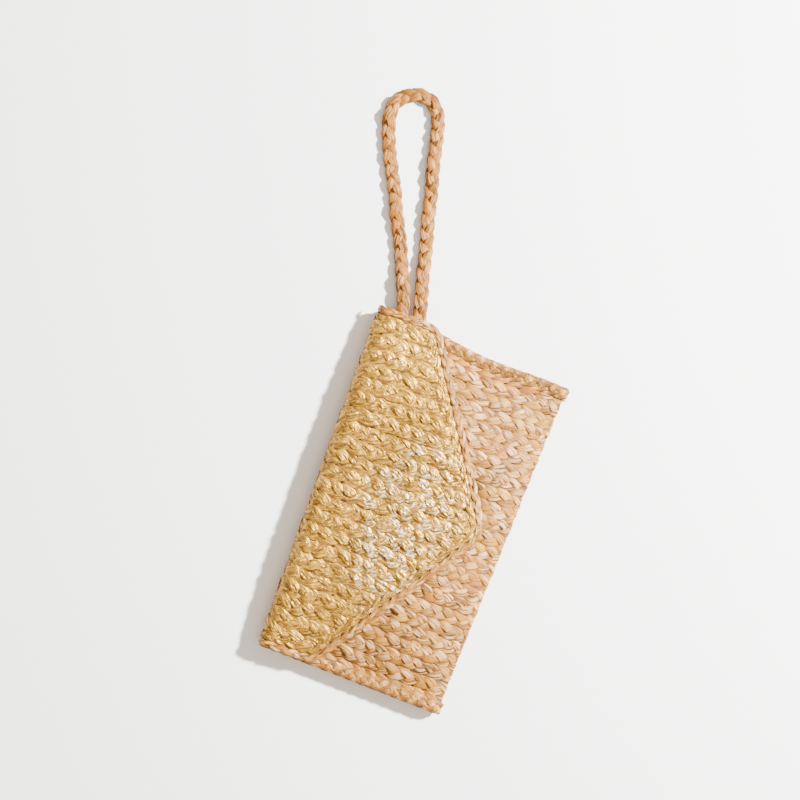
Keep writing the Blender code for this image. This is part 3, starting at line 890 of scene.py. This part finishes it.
class Braiding:
    """Gathers the strands of many plaits into one mesh."""

    def __init__(self, name: str, seed: int) -> None:
        """Starts an empty mesh with its own fixed choices."""
        self.name = name
        self.chance = np.random.default_rng(seed)
        self.places: list[Array] = []
        self.fibre: list[Array] = []
        self.leaf: list[Array] = []
        self.margin: list[Array] = []
        self.faces: list[tuple[int, ...]] = []
        self.count = 0

    def wave(self, along: Array, lengths: tuple[float, ...]) -> Array:
        """A slow wander along a row, between about -1 and 1."""
        total = np.zeros_like(along)
        for length in lengths:
            total += np.sin(FULL_TURN * along / length + self.chance.uniform(0, FULL_TURN))
        return total / len(lengths)

    def row(
        self,
        bed: Bed,
        plait: Plait,
        across: float,
        start: float,
        end: float,
        keep: PerPoint | None = None,
        sink: PerPoint | None = None,
        out: float = 0.0,
    ) -> None:
        """Lays one plait along a bed.

        Args:
            bed: what it lies on.
            plait: its sizes.
            across: where its middle runs.
            start: where it starts along the bed.
            end: where it ends.
            keep: for a strand's points across and along, which of them are kept.
            sink: for the same, how far the strand dips there.
            out: how far its middle lies out of the bed.
        """
        rings = max(3, int(round((end - start) / plait.pitch * plait.steps)) + 1)
        along = np.linspace(start, end, rings)
        middle = across + plait.drift * plait.strand * self.wave(along, plait.drift_lengths)
        turn = FULL_TURN * along / plait.pitch + self.chance.uniform(0, FULL_TURN)
        turn = turn + plait.wander * self.wave(along, plait.wander_lengths)
        for strand in range(3):
            phase = turn + FULL_TURN * strand / 3
            self._strand(bed, plait, middle, along, phase, keep, sink, out)

    def _strand(
        self,
        bed: Bed,
        plait: Plait,
        middle: Array,
        along: Array,
        phase: Array,
        keep: PerPoint | None,
        sink: PerPoint | None,
        out: float,
    ) -> None:
        """Lays one strand of a plait.

        Args:
            bed: what the plait lies on.
            plait: its sizes.
            middle: how far across the bed the plait's middle is, ring by ring.
            along: how far along the bed each ring is.
            phase: how far round its figure of eight the strand has come at each ring.
            keep: which points across and along are kept.
            sink: how far the strand dips at them.
            out: how far the plait's middle lies out of the bed.
        """
        across = middle + plait.swing * np.sin(phase)
        if keep is not None:
            kept = np.logical_and.accumulate(keep(across, along))
            if kept.sum() < 3:
                return
            along, phase, across = along[kept], phase[kept], across[kept]
        leaves = np.floor((phase - math.pi / 4) / math.pi).astype(int)
        leaves -= leaves.min()
        count = leaves.max() + 1
        showing = np.abs(np.sin(phase - math.pi / 4))
        fullness = self.chance.uniform(-1, 1, count)[leaves] * showing
        warmth = self.chance.normal(*plait.warmth, count)
        warmth += np.where(self.chance.random(count) < plait.odd_share, plait.odd_warmth, 0.0)
        light = self.chance.normal(*plait.light, count)
        seed = self.chance.random(count)

        out_of = out - plait.rise * np.sin(2 * phase) + plait.swell * plait.thick * fullness
        if sink is not None:
            out_of = out_of - sink(across, along)
        slope = np.arctan(plait.swing * np.cos(phase) * np.gradient(phase, along))
        slimming = plait.taper * np.cos(2 * (phase - plait.slimmest))
        wide = plait.strand / 2 * (1 + plait.uneven * fullness + slimming)
        roll = -plait.roll * np.sin(phase)

        angle, ring, faces = strand_blank(plait.sides, len(along))
        ridges = self.chance.normal(0, plait.ridge, (count, plait.sides))
        around = np.rint((angle % FULL_TURN) / FULL_TURN * plait.sides).astype(int) % plait.sides
        side = np.cos(angle) * wide[ring]
        crown = np.sign(np.sin(angle)) * np.abs(np.sin(angle)) ** plait.flat
        top = crown * plait.thick / 2 * (1 + ridges[leaves[ring], around] * showing[ring])
        run = travelled(np.column_stack([across, along]))
        flat = side * np.cos(roll[ring])
        self.places.append(
            bed.lay(
                across[ring] + flat * np.cos(slope[ring]),
                along[ring] - flat * np.sin(slope[ring]),
                out_of[ring] + side * np.sin(roll[ring]) + top,
            )
        )
        offset = self.chance.uniform(0, PATTERN_RANGE)
        self.fibre.append(np.stack([side, run[ring] + offset, leaves[ring] * LEAF_APART + offset], axis=1))
        raised = np.clip(plait.raised[0] - plait.raised[1] * np.sin(2 * phase), 0.0, 1.0)
        self.margin.append(np.abs(np.cos(angle)))
        tint = np.stack([warmth[leaves], light[leaves], seed[leaves], raised], axis=1)
        self.leaf.append(np.clip(tint, 0.0, 1.3)[ring])
        self.faces += [tuple(corner + self.count for corner in face) for face in faces]
        self.count += len(angle)

    def finish(self) -> bpy.types.Object:
        """Makes the object, with the strands' own coordinates and tints as attributes."""
        data = bpy.data.meshes.new(self.name)
        data.from_pydata(np.concatenate(self.places).tolist(), [], self.faces)
        fibre = data.attributes.new("fibre", "FLOAT_VECTOR", "POINT")
        fibre.data.foreach_set("vector", np.concatenate(self.fibre).astype(np.float32).ravel())
        leaf = data.attributes.new("leaf", "FLOAT_COLOR", "POINT")
        leaf.data.foreach_set("color", np.concatenate(self.leaf).astype(np.float32).ravel())
        margin = data.attributes.new("margin", "FLOAT", "POINT")
        margin.data.foreach_set("value", np.concatenate(self.margin).astype(np.float32))
        data.shade_smooth()
        piece = bpy.data.objects.new(self.name, data)
        bpy.context.scene.collection.objects.link(piece)
        mesh = bmesh.new()
        mesh.from_mesh(data)
        bmesh.ops.recalc_face_normals(mesh, faces=mesh.faces)
        mesh.to_mesh(data)
        mesh.free()
        log.info("%s: %d faces", self.name, len(self.faces))
        return piece


@dataclass(frozen=True)
class Band:
    """Rows of fine braid side by side, each overlapping the next, that fill a folded hem."""

    depth: float
    pitch: float
    overlap: float
    steps: int
    sunk: float
    light: tuple[float, float] = (0.98, 0.13)
    rows: int = 3
    sides: int = 8
    end: float = 0.0005

    def lay(self, bed: Sheet, name: str, seed: int) -> bpy.types.Object:
        """Lays the rows over the whole width of a hem.

        Args:
            bed: the hem.
            name: the piece's name.
            seed: starts its random choices.

        Returns:
            The piece.
        """
        width = float(bed.across[-1]) / (self.rows - 1 + self.overlap)
        plait = Plait.fitted(
            width * self.overlap, self.depth, self.pitch, sides=self.sides, steps=self.steps, light=self.light
        )
        braid = Braiding(name, seed)
        for row in range(self.rows):
            across = width * (row + self.overlap / 2)
            braid.row(bed, plait, across, self.end, bed.length - self.end, out=-self.sunk)
        return braid.finish()


def cloth_on(
    bed: Sheet, name: str, spots: Spots, out: float, thickness: float, columns: int, rows: int
) -> bpy.types.Object:
    """A thin cloth laid on a bed.

    Args:
        bed: what it lies on.
        name: the piece's name.
        spots: turns shares of the cloth's width and length into places across and along the bed.
        out: how far its outer side lies out of the bed.
        thickness: its thickness, inwards.
        columns: how many faces it has across.
        rows: how many faces it has along.

    Returns:
        The piece.
    """
    bpy.ops.object.select_all(action="DESELECT")
    bpy.ops.mesh.primitive_grid_add(x_subdivisions=columns, y_subdivisions=rows, size=1, location=(0, 0, 0))
    piece = bpy.context.object
    piece.name = piece.data.name = name
    flat = np.array([vertex.co[:] for vertex in piece.data.vertices])
    across, along = spots(flat[:, 0] + 0.5, flat[:, 1] + 0.5)
    placed = bed.lay(across, along, np.full(len(flat), out))
    piece.data.vertices.foreach_set("co", placed.astype(np.float32).ravel())
    outwards = bed.lay(across, along, np.full(len(flat), out + thickness)) - placed
    middle = piece.data.polygons[len(piece.data.polygons) // 2]
    if Vector(outwards[middle.vertices[0]]).dot(middle.normal) < 0:
        piece.data.flip_normals()
    wall = piece.modifiers.new("thickness", "SOLIDIFY")
    wall.thickness = thickness
    wall.offset = -1
    bpy.ops.object.modifier_apply(modifier=wall.name)
    piece.data.shade_smooth()
    log.info("%s: %d faces", name, len(piece.data.polygons))
    return piece


@dataclass
class Clutch:
    """What every part of the clutch shares: its form, its finishes and the tapes of its long sheet."""

    form: Form
    wardrobe: Wardrobe
    tapes: int = 24
    overlap: float = 1.24
    tape_depth: float = 0.0021
    tape_pitch: float = 0.0315
    ground: float = 0.0004
    ground_out: float = 0.0008

    def tape_width(self) -> float:
        """The width of one tape of the long sheet."""
        return 2 * self.form.seam_x / self.tapes

    def tape_middles(self) -> Array:
        """Where the tapes' middles run, from left to right."""
        return (np.arange(self.tapes) + 0.5) * self.tape_width() - self.form.seam_x

    def tape_plait(self, **changes: float) -> Plait:
        """One tape's plait, whose edges reach in among its neighbours'."""
        return Plait.fitted(self.tape_width() * self.overlap, self.tape_depth, self.tape_pitch, **changes)

    def tape_out(self) -> float:
        """How far out of the sheet's middle a tape lies, so that it is flush with the solid's face."""
        return (self.form.straw - self.tape_depth) / 2


@dataclass
class Body:
    """The pouch: its tapes, bindings and lining.

    The side hems turn in at the bottom and close over the start of the top fold. Their inner edges dive
    under the next tape, and the tapes dip under them in turn.
    """

    clutch: Clutch
    front_rows: int = 70
    bottom_rows: int = 15
    back_rows: int = 40
    fold_rows: int = 9
    columns: int = 73
    hem_points: int = 17
    hem_slope_points: int = 7
    hem_turn_rows: int = 10
    side_rows: int = 40
    mouth_rows: int = 48
    ground_faces: tuple[int, int] = (48, 110)
    cotton_faces: tuple[int, int] = (60, 120)
    tape_seeds: tuple[int, int] = (11, 12)
    side_seeds: tuple[int, int] = (13, 14)
    mouth_seed: int = 15
    # The side bands' leaves are painted lighter (light 1.16) to make up for the shade on their slope away
    # from the key lamp.
    side_band: Band = Band(0.0013, 0.0290, 1.24, 16, 0.0007, light=(1.16, 0.10))
    mouth_band: Band = Band(0.0017, 0.0185, 1.20, 14, 0.0008)
    mouth_share: float = 1 - 2 / 22
    hem_reach: float = 1.30
    hem_stand: float = 0.0010
    hem_turn: float = math.radians(80)
    hem_close: float = 0.0030
    hem_dive: float = 0.0009
    tape_start: float = 0.0004
    tape_dip: float = 0.0009
    tape_dip_run: float = 0.0040
    cloth_start: float = 0.0010
    cloth_stop: float = 0.0005
    ground_inset: float = 0.0005
    cotton_inset: float = 0.0030

    def sheet(self, depth: float) -> Sheet:
        """The sheet as sewn, from the mouth down the front and up the back to the hinge line.

        Args:
            depth: how far inside the sheet's outer side.

        Returns:
            The sheet, with the columns from left to right.
        """
        form = self.clutch.form
        x = np.linspace(-form.seam_x, form.seam_x, self.columns)
        rows = []
        for level in np.linspace(form.mouth_y, form.bottom_y, self.front_rows):
            y = np.full_like(x, level)
            rows.append((x, y, form.front(x, y) - depth))
        low, high = form.back(x, y), form.front(x, y)
        for angle in np.linspace(math.pi, 0, self.bottom_rows)[1:]:
            y = np.full_like(x, form.bottom_y - (form.bottom_reach - depth) * math.sin(angle))
            rows.append((x, y, (low + high) / 2 - ((high - low) / 2 - depth) * math.cos(angle)))
        for level in np.linspace(form.bottom_y, form.fold_y, self.back_rows)[1:]:
            y = np.full_like(x, level)
            rows.append((x, y, form.back(x, y) + depth))
        last = form.fold_angle(x, depth)
        for share in np.linspace(0, 1, self.fold_rows)[1:]:
            angle = -math.pi / 2 + (last + math.pi / 2) * share
            rows.append((x, *form.round_fold(x, angle, depth)))
        return Sheet(form.sewn_grid(rows), x)

    def hem(self, thick: float) -> tuple[Array, Array, Array]:
        """A folded hem's section.

        Args:
            thick: the thickness of the sheets inside it.

        Returns:
            Each point's distance back from the edge, its height over the sheets' middle and its distance
            along the section.
        """
        form = self.clutch.form
        half = thick / 2 + self.hem_stand
        angle = np.linspace(0, math.pi, self.hem_points)
        slope = np.linspace(0, 1, self.hem_slope_points)[1:]
        inner = form.binding_reach * slope * self.hem_reach
        fall = half - (self.hem_stand + self.hem_dive) * smooth(slope)
        back = np.concatenate([inner[::-1], -form.hem * np.sin(angle), inner])
        up = np.concatenate([-fall[::-1], -half * np.cos(angle), fall])
        return back, up, travelled(np.column_stack([back, up]))

    def side_binding(self, side: int) -> None:
        """Lays the rows of fine braid folded over a side seam.

        Args:
            side: 1 for the loop's seam and -1 for the other.
        """
        form = self.clutch.form
        back, up, run = self.hem(form.seam_top - form.seam_base)
        middle = (form.seam_top + form.seam_base) / 2
        rows = []
        turns = np.linspace(self.hem_turn, 0, self.hem_turn_rows)[:-1]
        reach = form.bottom_reach + self.hem_stand
        places = [(form.bottom_y - reach * math.sin(turn), turn) for turn in turns]
        places += [(y, 0.0) for y in np.linspace(form.bottom_y, form.fold_y, self.side_rows)]
        places += [(form.fold_y + self.hem_close * math.sin(turn), turn) for turn in turns[::-1]]
        for y, turn in places:
            rows.append((side * (form.seam_x - back), np.full_like(back, y), middle + up * math.cos(turn)))
        bed = Sheet(form.sewn_grid(rows), run, flip=side > 0)
        name, seed = ("left", self.side_seeds[0]) if side < 0 else ("right", self.side_seeds[1])
        piece = self.side_band.lay(bed, f"side_braid_{name}", seed)
        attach(piece, "body")
        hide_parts(f"side_binding_{name}")
        self.clutch.wardrobe.dress(piece, Finish.NATURAL)

    def mouth_binding(self) -> None:
        """The rows of fine braid folded over the front panel's top edge."""
        form = self.clutch.form
        thick = form.straw + form.clearance + form.lining
        back, up, run = self.hem(thick)
        reach = form.pillow_x * self.mouth_share
        rows = []
        for x in np.linspace(-reach, reach, self.mouth_rows):
            y = form.mouth_y - back
            z = form.front(np.full_like(y, x), np.minimum(y, form.mouth_y)) - thick / 2 + up
            rows.append((np.full_like(y, x), y, z))
        piece = self.mouth_band.lay(Sheet(form.sewn_grid(rows), run), "mouth_braid", self.mouth_seed)
        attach(piece, "body")
        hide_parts("mouth_binding")
        self.clutch.wardrobe.dress(piece, Finish.NATURAL)

    def tuck(self, across: Array, _along: Array) -> Array:
        """How far the sheet's side edges dip to lie under their bindings."""
        return self.tape_dip * smooth((np.abs(across) - self.clutch.form.pillow_x) / self.tape_dip_run)

    def tapes(self) -> None:
        """The long sheet's tapes, in a left and a right half."""
        bed = self.sheet(self.clutch.form.straw / 2)
        plait, out = self.clutch.tape_plait(), self.clutch.tape_out()
        halves = np.array_split(self.clutch.tape_middles(), 2)
        for name, middles, seed in zip(("body_tapes_left", "body_tapes_right"), halves, self.tape_seeds):
            braid = Braiding(name, seed)
            for middle in middles:
                braid.row(bed, plait, float(middle), self.tape_start, bed.length, sink=self.tuck, out=out)
            piece = braid.finish()
            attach(piece, "body")
            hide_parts("body_panel")
            self.clutch.wardrobe.dress(piece, Finish.NATURAL)

    def spread(self, bed: Sheet, span: float) -> Spots:
        """How a cloth spreads over the sheet, this far to each side of its middle."""
        run = bed.length - self.cloth_start - self.cloth_stop
        return lambda across, along: ((2 * across - 1) * span, self.cloth_start + along * run)

    def ground(self) -> None:
        """The inner strands that show between the leaves, as a sheet whose dark tone is painted shade."""
        form = self.clutch.form
        bed = self.sheet(form.straw)
        spots = self.spread(bed, form.seam_x - self.ground_inset)
        out, thickness = self.clutch.ground_out, self.clutch.ground
        piece = cloth_on(bed, "body_ground", spots, out, thickness, *self.ground_faces)
        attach(piece, "body")
        self.clutch.wardrobe.dress(piece, Finish.GROUND)

    def lining(self) -> None:
        """The cotton inside the pouch."""
        form = self.clutch.form
        bed = self.sheet(form.straw + form.clearance)
        span = form.seam_x - self.cotton_inset
        piece = cloth_on(bed, "pouch_cotton", self.spread(bed, span), 0.0, form.lining, *self.cotton_faces)
        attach(piece, "body")
        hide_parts("pouch_lining")
        2 * span
        self.clutch.wardrobe.dress(piece, Finish.COTTON)

    def build(self) -> None:
        """Builds and dresses the pouch."""
        self.tapes()
        self.ground()
        self.lining()
        self.side_binding(-1)
        self.side_binding(1)
        self.mouth_binding()


@dataclass
class Flap:
    """The folding flap: its gilt tapes, border braid and lining."""

    clutch: Clutch
    columns: int = 73
    rows: int = 70
    fold_rows: int = 10
    border_columns: int = 9
    border_fold_rows: int = 8
    border_rows: int = 90
    ground_faces: tuple[int, int] = (60, 60)
    cotton_faces: tuple[int, int] = (80, 80)
    seed: int = 21
    bend: float = 0.7
    tuck: float = 0.0070
    tuck_trim: float = 0.0004
    tuck_slack: float = 0.0030
    dip: float = 0.0008
    dip_run: float = 0.0070
    ground_start: float = 0.0160
    ground_tuck: float = 0.0008
    cloth_start: float = 0.0005
    cotton_share: float = 0.45
    border_spill: float = 0.0006
    border_out: float = 0.0005
    border_depth: float = 0.0019
    border_pitch: float = 0.0265
    border_overlap: float = 1.2

    def sheet(self, depth: float) -> Sheet:
        """The flap from the hinge line over the fold to its tip.

        Args:
            depth: how far inside the flap's outer side.

        Returns:
            The sheet, with the columns from left to right.
        """
        form = self.clutch.form
        x = np.linspace(-form.side, form.side, self.columns)
        first = form.fold_angle(x, depth)
        rows = []
        for share in np.linspace(0, 1, self.fold_rows):
            rows.append((x, *form.round_fold(x, first + (math.pi / 2 - first) * share, depth)))
        for y in np.linspace(form.fold_y, form.top_y - form.flap_depth, self.rows)[1:]:
            level = np.full_like(x, y)
            rows.append((x, level, form.flap(*form.squared(x, level)) - depth))
        return Sheet(gridded(rows), x)

    def edge_y(self, x: Array, inset: float) -> Array:
        """Where the flap's lower edge runs.

        Args:
            x: the places across the flap.
            inset: how far inside the flap's edge.

        Returns:
            The edge's Y at each of them, or the top fold's where the flap has none.
        """
        low = np.zeros_like(x)
        for side in (1, -1):
            half = self.clutch.form.flap_half(inset, side)[::-1]
            edge = np.interp(np.abs(x), np.abs(half[:, 0]), half[:, 1])
            edge = np.where(np.abs(x) > np.abs(half[:, 0]).max(), self.clutch.form.top_y, edge)
            low = np.where(side * x >= 0, edge, low)
        return low

    def cross_joint(self, piece: bpy.types.Object) -> None:
        """Bakes a piece's transform into its mesh."""
        form = self.clutch.form
        reach = self.bend * form.top_reach
        start = (0.0, form.top_y, form.hinge_z)
        end = (0.0, form.top_y - reach, form.hinge_z + reach)
        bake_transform(piece)

    def tapes(self) -> None:
        """The gilt tapes, which draw apart from the fold on so that they reach in under the border."""
        form = self.clutch.form
        bed = self.sheet(form.straw / 2)
        middles = self.clutch.tape_middles()[1:-1]
        outermost = float(middles[-1]) + self.clutch.tape_width() / 2
        fan = Fan(bed, (form.side - self.tuck - self.tuck_trim) / outermost - 1)

        def inside(across: Array, along: Array) -> Array:
            """How far inside the tapes' outline a point lies."""
            x = fan.widened(across, along)
            y = np.interp(along, bed.along, bed.middle[:, 1])
            to_side = form.side - self.tuck + self.tuck_slack - np.abs(x)
            return np.minimum(y - self.edge_y(x, self.tuck), to_side)

        def keep(across: Array, along: Array) -> Array:
            """Whether a point of a strand is kept."""
            return inside(across, along) > 0

        def sink(across: Array, along: Array) -> Array:
            """How far a strand dips to pass under the border."""
            return self.dip * (1 - smooth(inside(across, along) / self.dip_run))

        braid = Braiding("flap_tapes", self.seed)
        plait = self.clutch.tape_plait(lift=0.17, ridge=0.34, uneven=0.2, wander=0.9)
        out = self.clutch.tape_out()
        for middle in middles:
            braid.row(fan, plait, float(middle), 0.0, bed.length, keep=keep, sink=sink, out=out)
        piece = braid.finish()
        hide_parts("flap_panel")
        self.clutch.wardrobe.dress(piece, Finish.GILT)
        self.cross_joint(piece)

    def spread(self, bed: Sheet, inset: float, start: float) -> Spots:
        """How a cloth spreads over the flap.

        Args:
            bed: the sheet that it lies on.
            inset: how far inside the flap's edge it ends.
            start: how far along the sheet it starts.

        Returns:
            A function that turns shares of the cloth's width and length into places on the sheet.
        """
        half = self.clutch.form.side - inset

        def spots(across: Array, along: Array) -> tuple[Array, Array]:
            """A point's place across and along the sheet."""
            x = (2 * across - 1) * half
            end = np.interp(-self.edge_y(x, inset), -bed.middle[:, 1], bed.along)
            return x, start + along * (end - start)

        return spots

    def ground(self) -> None:
        """The inner strands that show between the leaves, as a sheet whose dark tone is painted shade."""
        form = self.clutch.form
        bed = self.sheet(form.straw)
        spots = self.spread(bed, form.border - self.ground_tuck, self.ground_start)
        out, thickness = self.clutch.ground_out, self.clutch.ground
        piece = cloth_on(bed, "flap_ground", spots, out, thickness, *self.ground_faces)
        self.clutch.wardrobe.dress(piece, Finish.GROUND)
        self.cross_joint(piece)

    def lining(self) -> None:
        """The cotton under the flap."""
        form = self.clutch.form
        bed = self.sheet(form.straw + form.clearance)
        spots = self.spread(bed, form.border * self.cotton_share, self.cloth_start)
        piece = cloth_on(bed, "flap_cotton", spots, 0.0, form.lining, *self.cotton_faces)
        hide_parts("flap_lining")
        share = np.linspace(0, 1, self.cotton_faces[0] + 1)
        across, down = spots(share, np.ones_like(share))
        width, length = float(np.ptp(across)), float(down.max())
        self.clutch.wardrobe.dress(piece, Finish.COTTON)
        self.cross_joint(piece)

    def border_bed(self) -> Sheet:
        """The band round the flap's edge, across from the edge inwards and along from side to side."""
        form = self.clutch.form
        depth = form.straw / 2
        insets = np.linspace(-self.border_spill, form.border + self.border_spill, self.border_columns)
        rims = []
        for inset in insets:
            rim = []
            for side in (1, -1):
                half = form.flap_half(float(inset), side)
                first = form.fold_angle(half[:1, 0], depth)[0]
                angle = np.linspace(first, math.pi / 2, self.border_fold_rows)[:-1]
                x = np.full_like(angle, half[0, 0])
                over = np.column_stack([x, *form.round_fold(x, angle, depth)])
                plan = self.evenly(half, self.border_rows)
                lying = np.column_stack([plan, form.flap(*form.squared(plan[:, 0], plan[:, 1])) - depth])
                rim.append(np.concatenate([over, lying]))
            rims.append(np.concatenate([rim[0], rim[1][-2::-1]]))
        return Sheet(np.stack(rims, axis=1), insets, flip=True)

    def border(self) -> None:
        """The two rows of fine braid sewn round the flap's edge, the inner one brushed with stray gold."""
        bed = self.border_bed()
        width = self.clutch.form.border / 2
        shape = {"sides": 8, "steps": 16, "warmth": (0.26, 0.20), "light": (1.0, 0.09)}
        plait = Plait.fitted(width * self.border_overlap, self.border_depth, self.border_pitch, **shape)
        rows = (("flap_border_outer", 1, Finish.NATURAL), ("flap_border_inner", 3, Finish.PART_GILT))
        for name, halves, finish in rows:
            braid = Braiding(name, self.seed + halves)
            braid.row(bed, plait, width * halves / 2, 0.0, bed.length, out=self.border_out)
            piece = braid.finish()
            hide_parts("flap_border")
            self.clutch.wardrobe.dress(piece, finish)
            self.cross_joint(piece)

    @staticmethod
    def evenly(line: Array, count: int) -> Array:
        """A line again, with this many points at even steps."""
        along = travelled(line)
        at = np.linspace(0, along[-1], count)
        return np.column_stack([np.interp(at, along, line[:, 0]), np.interp(at, along, line[:, 1])])

    def build(self) -> None:
        """Builds and dresses the flap."""
        self.tapes()
        self.ground()
        self.lining()
        self.border()


@dataclass
class WristLoop:
    """The plaited loop, which comes out of the side seam and lies on the floor."""

    clutch: Clutch
    width: float = 0.0096
    thickness: float = 0.0052
    root: float = 0.0060
    drop: float = 0.0300
    pitch: float = 0.0310
    overlap: float = 1.17
    strand_share: float = 0.55
    seed: int = 31
    sewn_in: float = 0.0095
    bend_start: float = -0.0040
    bend_end: float = 0.0060
    span_points: int = 12
    route: tuple[tuple[float, float], ...] = (
        (0.0000, 0.0190),
        (0.0100, 0.0153),
        (0.0235, 0.0096),
        (0.0439, 0.0007),
        (0.0775, -0.0154),
        (0.1107, -0.0321),
        (0.1300, -0.0386),
        (0.1438, -0.0382),
        (0.1533, -0.0281),
        (0.1529, -0.0143),
        (0.1428, -0.0048),
        (0.1229, 0.0004),
        (0.0867, 0.0094),
        (0.0507, 0.0189),
        (0.0287, 0.0241),
        (0.0110, 0.0289),
        (0.0000, 0.0322),
    )

    def line(self) -> Array:
        """The loop's middle line, a smooth curve through the route's points."""
        form = self.clutch.form
        pivot_x = form.side + form.clearance + self.thickness / 2
        pivot_z = (form.seam_base + form.seam_top) / 2
        low = self.thickness / 2 + form.clearance
        out, down = np.array(self.route).T
        height = pivot_z + (low - pivot_z) * smooth((out - self.root) / self.drop)
        points = np.column_stack([pivot_x + out, form.top_y - down, height])
        ends = np.concatenate([[2 * points[0] - points[1]], points, [2 * points[-1] - points[-2]]])
        share = np.linspace(0, 1, self.span_points, endpoint=False)[:, None]
        spans = []
        for a, b, c, d in zip(ends, ends[1:], ends[2:], ends[3:]):
            cubic = 2 * b + (c - a) * share + (2 * a - 5 * b + 4 * c - d) * share**2
            spans.append((cubic + (3 * b - a - 3 * c + d) * share**3) / 2)
        inwards = np.array([-self.sewn_in, 0, 0])
        first, last = points[0], points[-1]
        return np.concatenate(
            [[first + inwards, first + inwards / 2], *spans, [last, last + inwards / 2, last + inwards]]
        )

    def build(self) -> None:
        """Builds the loop as one plait along its line."""
        line = self.line()
        bed = Path(line)
        braid = Braiding("wrist_loop_braid", self.seed)
        plait = Plait.fitted(
            self.width * self.overlap,
            self.thickness,
            self.pitch,
            self.strand_share,
            sides=14,
            steps=24,
            uneven=0.05,
            taper=0.03,
            warmth=(0.46, 0.2),
            roll=0.08,
            wander=0.3,
        )
        braid.row(bed, plait, 0.0, 0.0, bed.length)
        piece = braid.finish()
        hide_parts("wrist_loop")
        self.clutch.wardrobe.dress(piece, Finish.LOOP)
        x, y, z = line[0]
        start, end = (x + self.bend_start, y, z), (x + self.bend_end, y, z)
        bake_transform(piece)
        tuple(start)
        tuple(end)
        bed.length


@dataclass
class Snap:
    """The magnetic snap, whose solids have their real shapes and only get their finishes."""

    clutch: Clutch
    finishes: tuple[tuple[str, Finish], ...] = (
        ("snap_socket_plate", Finish.STEEL),
        ("snap_magnet", Finish.MAGNET),
        ("snap_socket_cap", Finish.BRASS),
        ("snap_socket_washer", Finish.STEEL),
        ("snap_stud", Finish.BRASS),
        ("snap_stud_washer", Finish.STEEL),
    )

    def build(self) -> None:
        """Dresses the snap's solids."""
        for node, finish in self.finishes:
            self.clutch.wardrobe.dress(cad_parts[node], finish)
            log.info("%s: %s", node, finish.name.lower())


@dataclass(frozen=True)
class Lamp:
    """A square light."""

    name: str
    place: tuple[float, float, float]
    size: float
    power: float
    tone: tuple[float, float, float]

    def add(self, aim: tuple[float, float, float]) -> None:
        """Adds the light.

        Args:
            aim: the point that it faces.
        """
        data = bpy.data.lights.new(self.name, "AREA")
        data.size = self.size
        data.energy = self.power
        data.color = self.tone
        lamp = bpy.data.objects.new(self.name, data)
        lamp.location = self.place
        lamp.rotation_euler = (Vector(aim) - Vector(self.place)).to_track_quat("-Z", "Y").to_euler()
        bpy.context.scene.collection.objects.link(lamp)


@dataclass
class Studio:
    """The pale floor, the light and the camera."""

    eye: tuple[float, float, float] = (0.061, 0.121, 0.968)
    view: tuple[float, float, float] = (0.011, -0.088, -0.996)
    up: tuple[float, float, float] = (0.941, 0.337, -0.019)
    lens: float = 58.5
    sensor: float = 36.0
    nearest: float = 0.01
    floor_side: float = 6.0
    floor_tone: RGBA = (0.96, 0.9552, 0.9456, 1.0)
    world_tone: RGBA = (1.0, 0.86, 0.72, 1.0)
    world_strength: float = 1.0
    aim: tuple[float, float, float] = (0.05, 0.0, 0.0)
    lamps: tuple[Lamp, ...] = (
        Lamp("key", (1.02, -1.10, 1.10), 0.14, 270.0, (0.975, 0.99, 1.0)),
        Lamp("softbox", (-0.12, -0.55, 1.7), 0.60, 5.0, (1.0, 0.95, 0.88)),
    )

    def camera(self) -> None:
        """Places the camera at the photograph's angle."""
        data = bpy.data.cameras.new("camera")
        data.lens = self.lens
        data.sensor_width = self.sensor
        data.clip_start = self.nearest
        back = -Vector(self.view).normalized()
        right = Vector(self.up).cross(back).normalized()
        turn = Matrix((right, back.cross(right), back)).transposed()
        camera = bpy.data.objects.new("camera", data)
        camera.matrix_world = Matrix.Translation(self.eye) @ turn.to_4x4()
        bpy.context.scene.collection.objects.link(camera)
        bpy.context.scene.camera = camera

    def floor(self) -> None:
        """Lays the floor."""
        bpy.ops.object.select_all(action="DESELECT")
        bpy.ops.mesh.primitive_plane_add(size=self.floor_side, location=(0, 0, 0))
        floor = bpy.context.object
        floor.name = "floor"
        net = Net("pale_floor")
        net.set(base_color=self.floor_tone, roughness=0.9, specular_ior_level=0.1)
        floor.data.materials.append(net.material)

    def build(self) -> None:
        """Sets up the floor, the light and the camera."""
        world = bpy.data.worlds.new("studio")
        world.use_nodes = True
        shade = world.node_tree.nodes["Background"]
        shade.inputs["Color"].default_value = self.world_tone
        shade.inputs["Strength"].default_value = self.world_strength
        bpy.context.scene.world = world
        self.floor()
        for lamp in self.lamps:
            lamp.add(self.aim)
        self.camera()


def main() -> None:
    """Builds the clutch in order."""
    logging.basicConfig(level=logging.INFO, format="%(message)s")
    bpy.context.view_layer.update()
    Studio().build()
    clutch = Clutch(Form(), Wardrobe())
    WristLoop(clutch).build()
    Body(clutch).build()
    Flap(clutch).build()
    Snap(clutch).build()


if __name__ == "__main__":
    main()
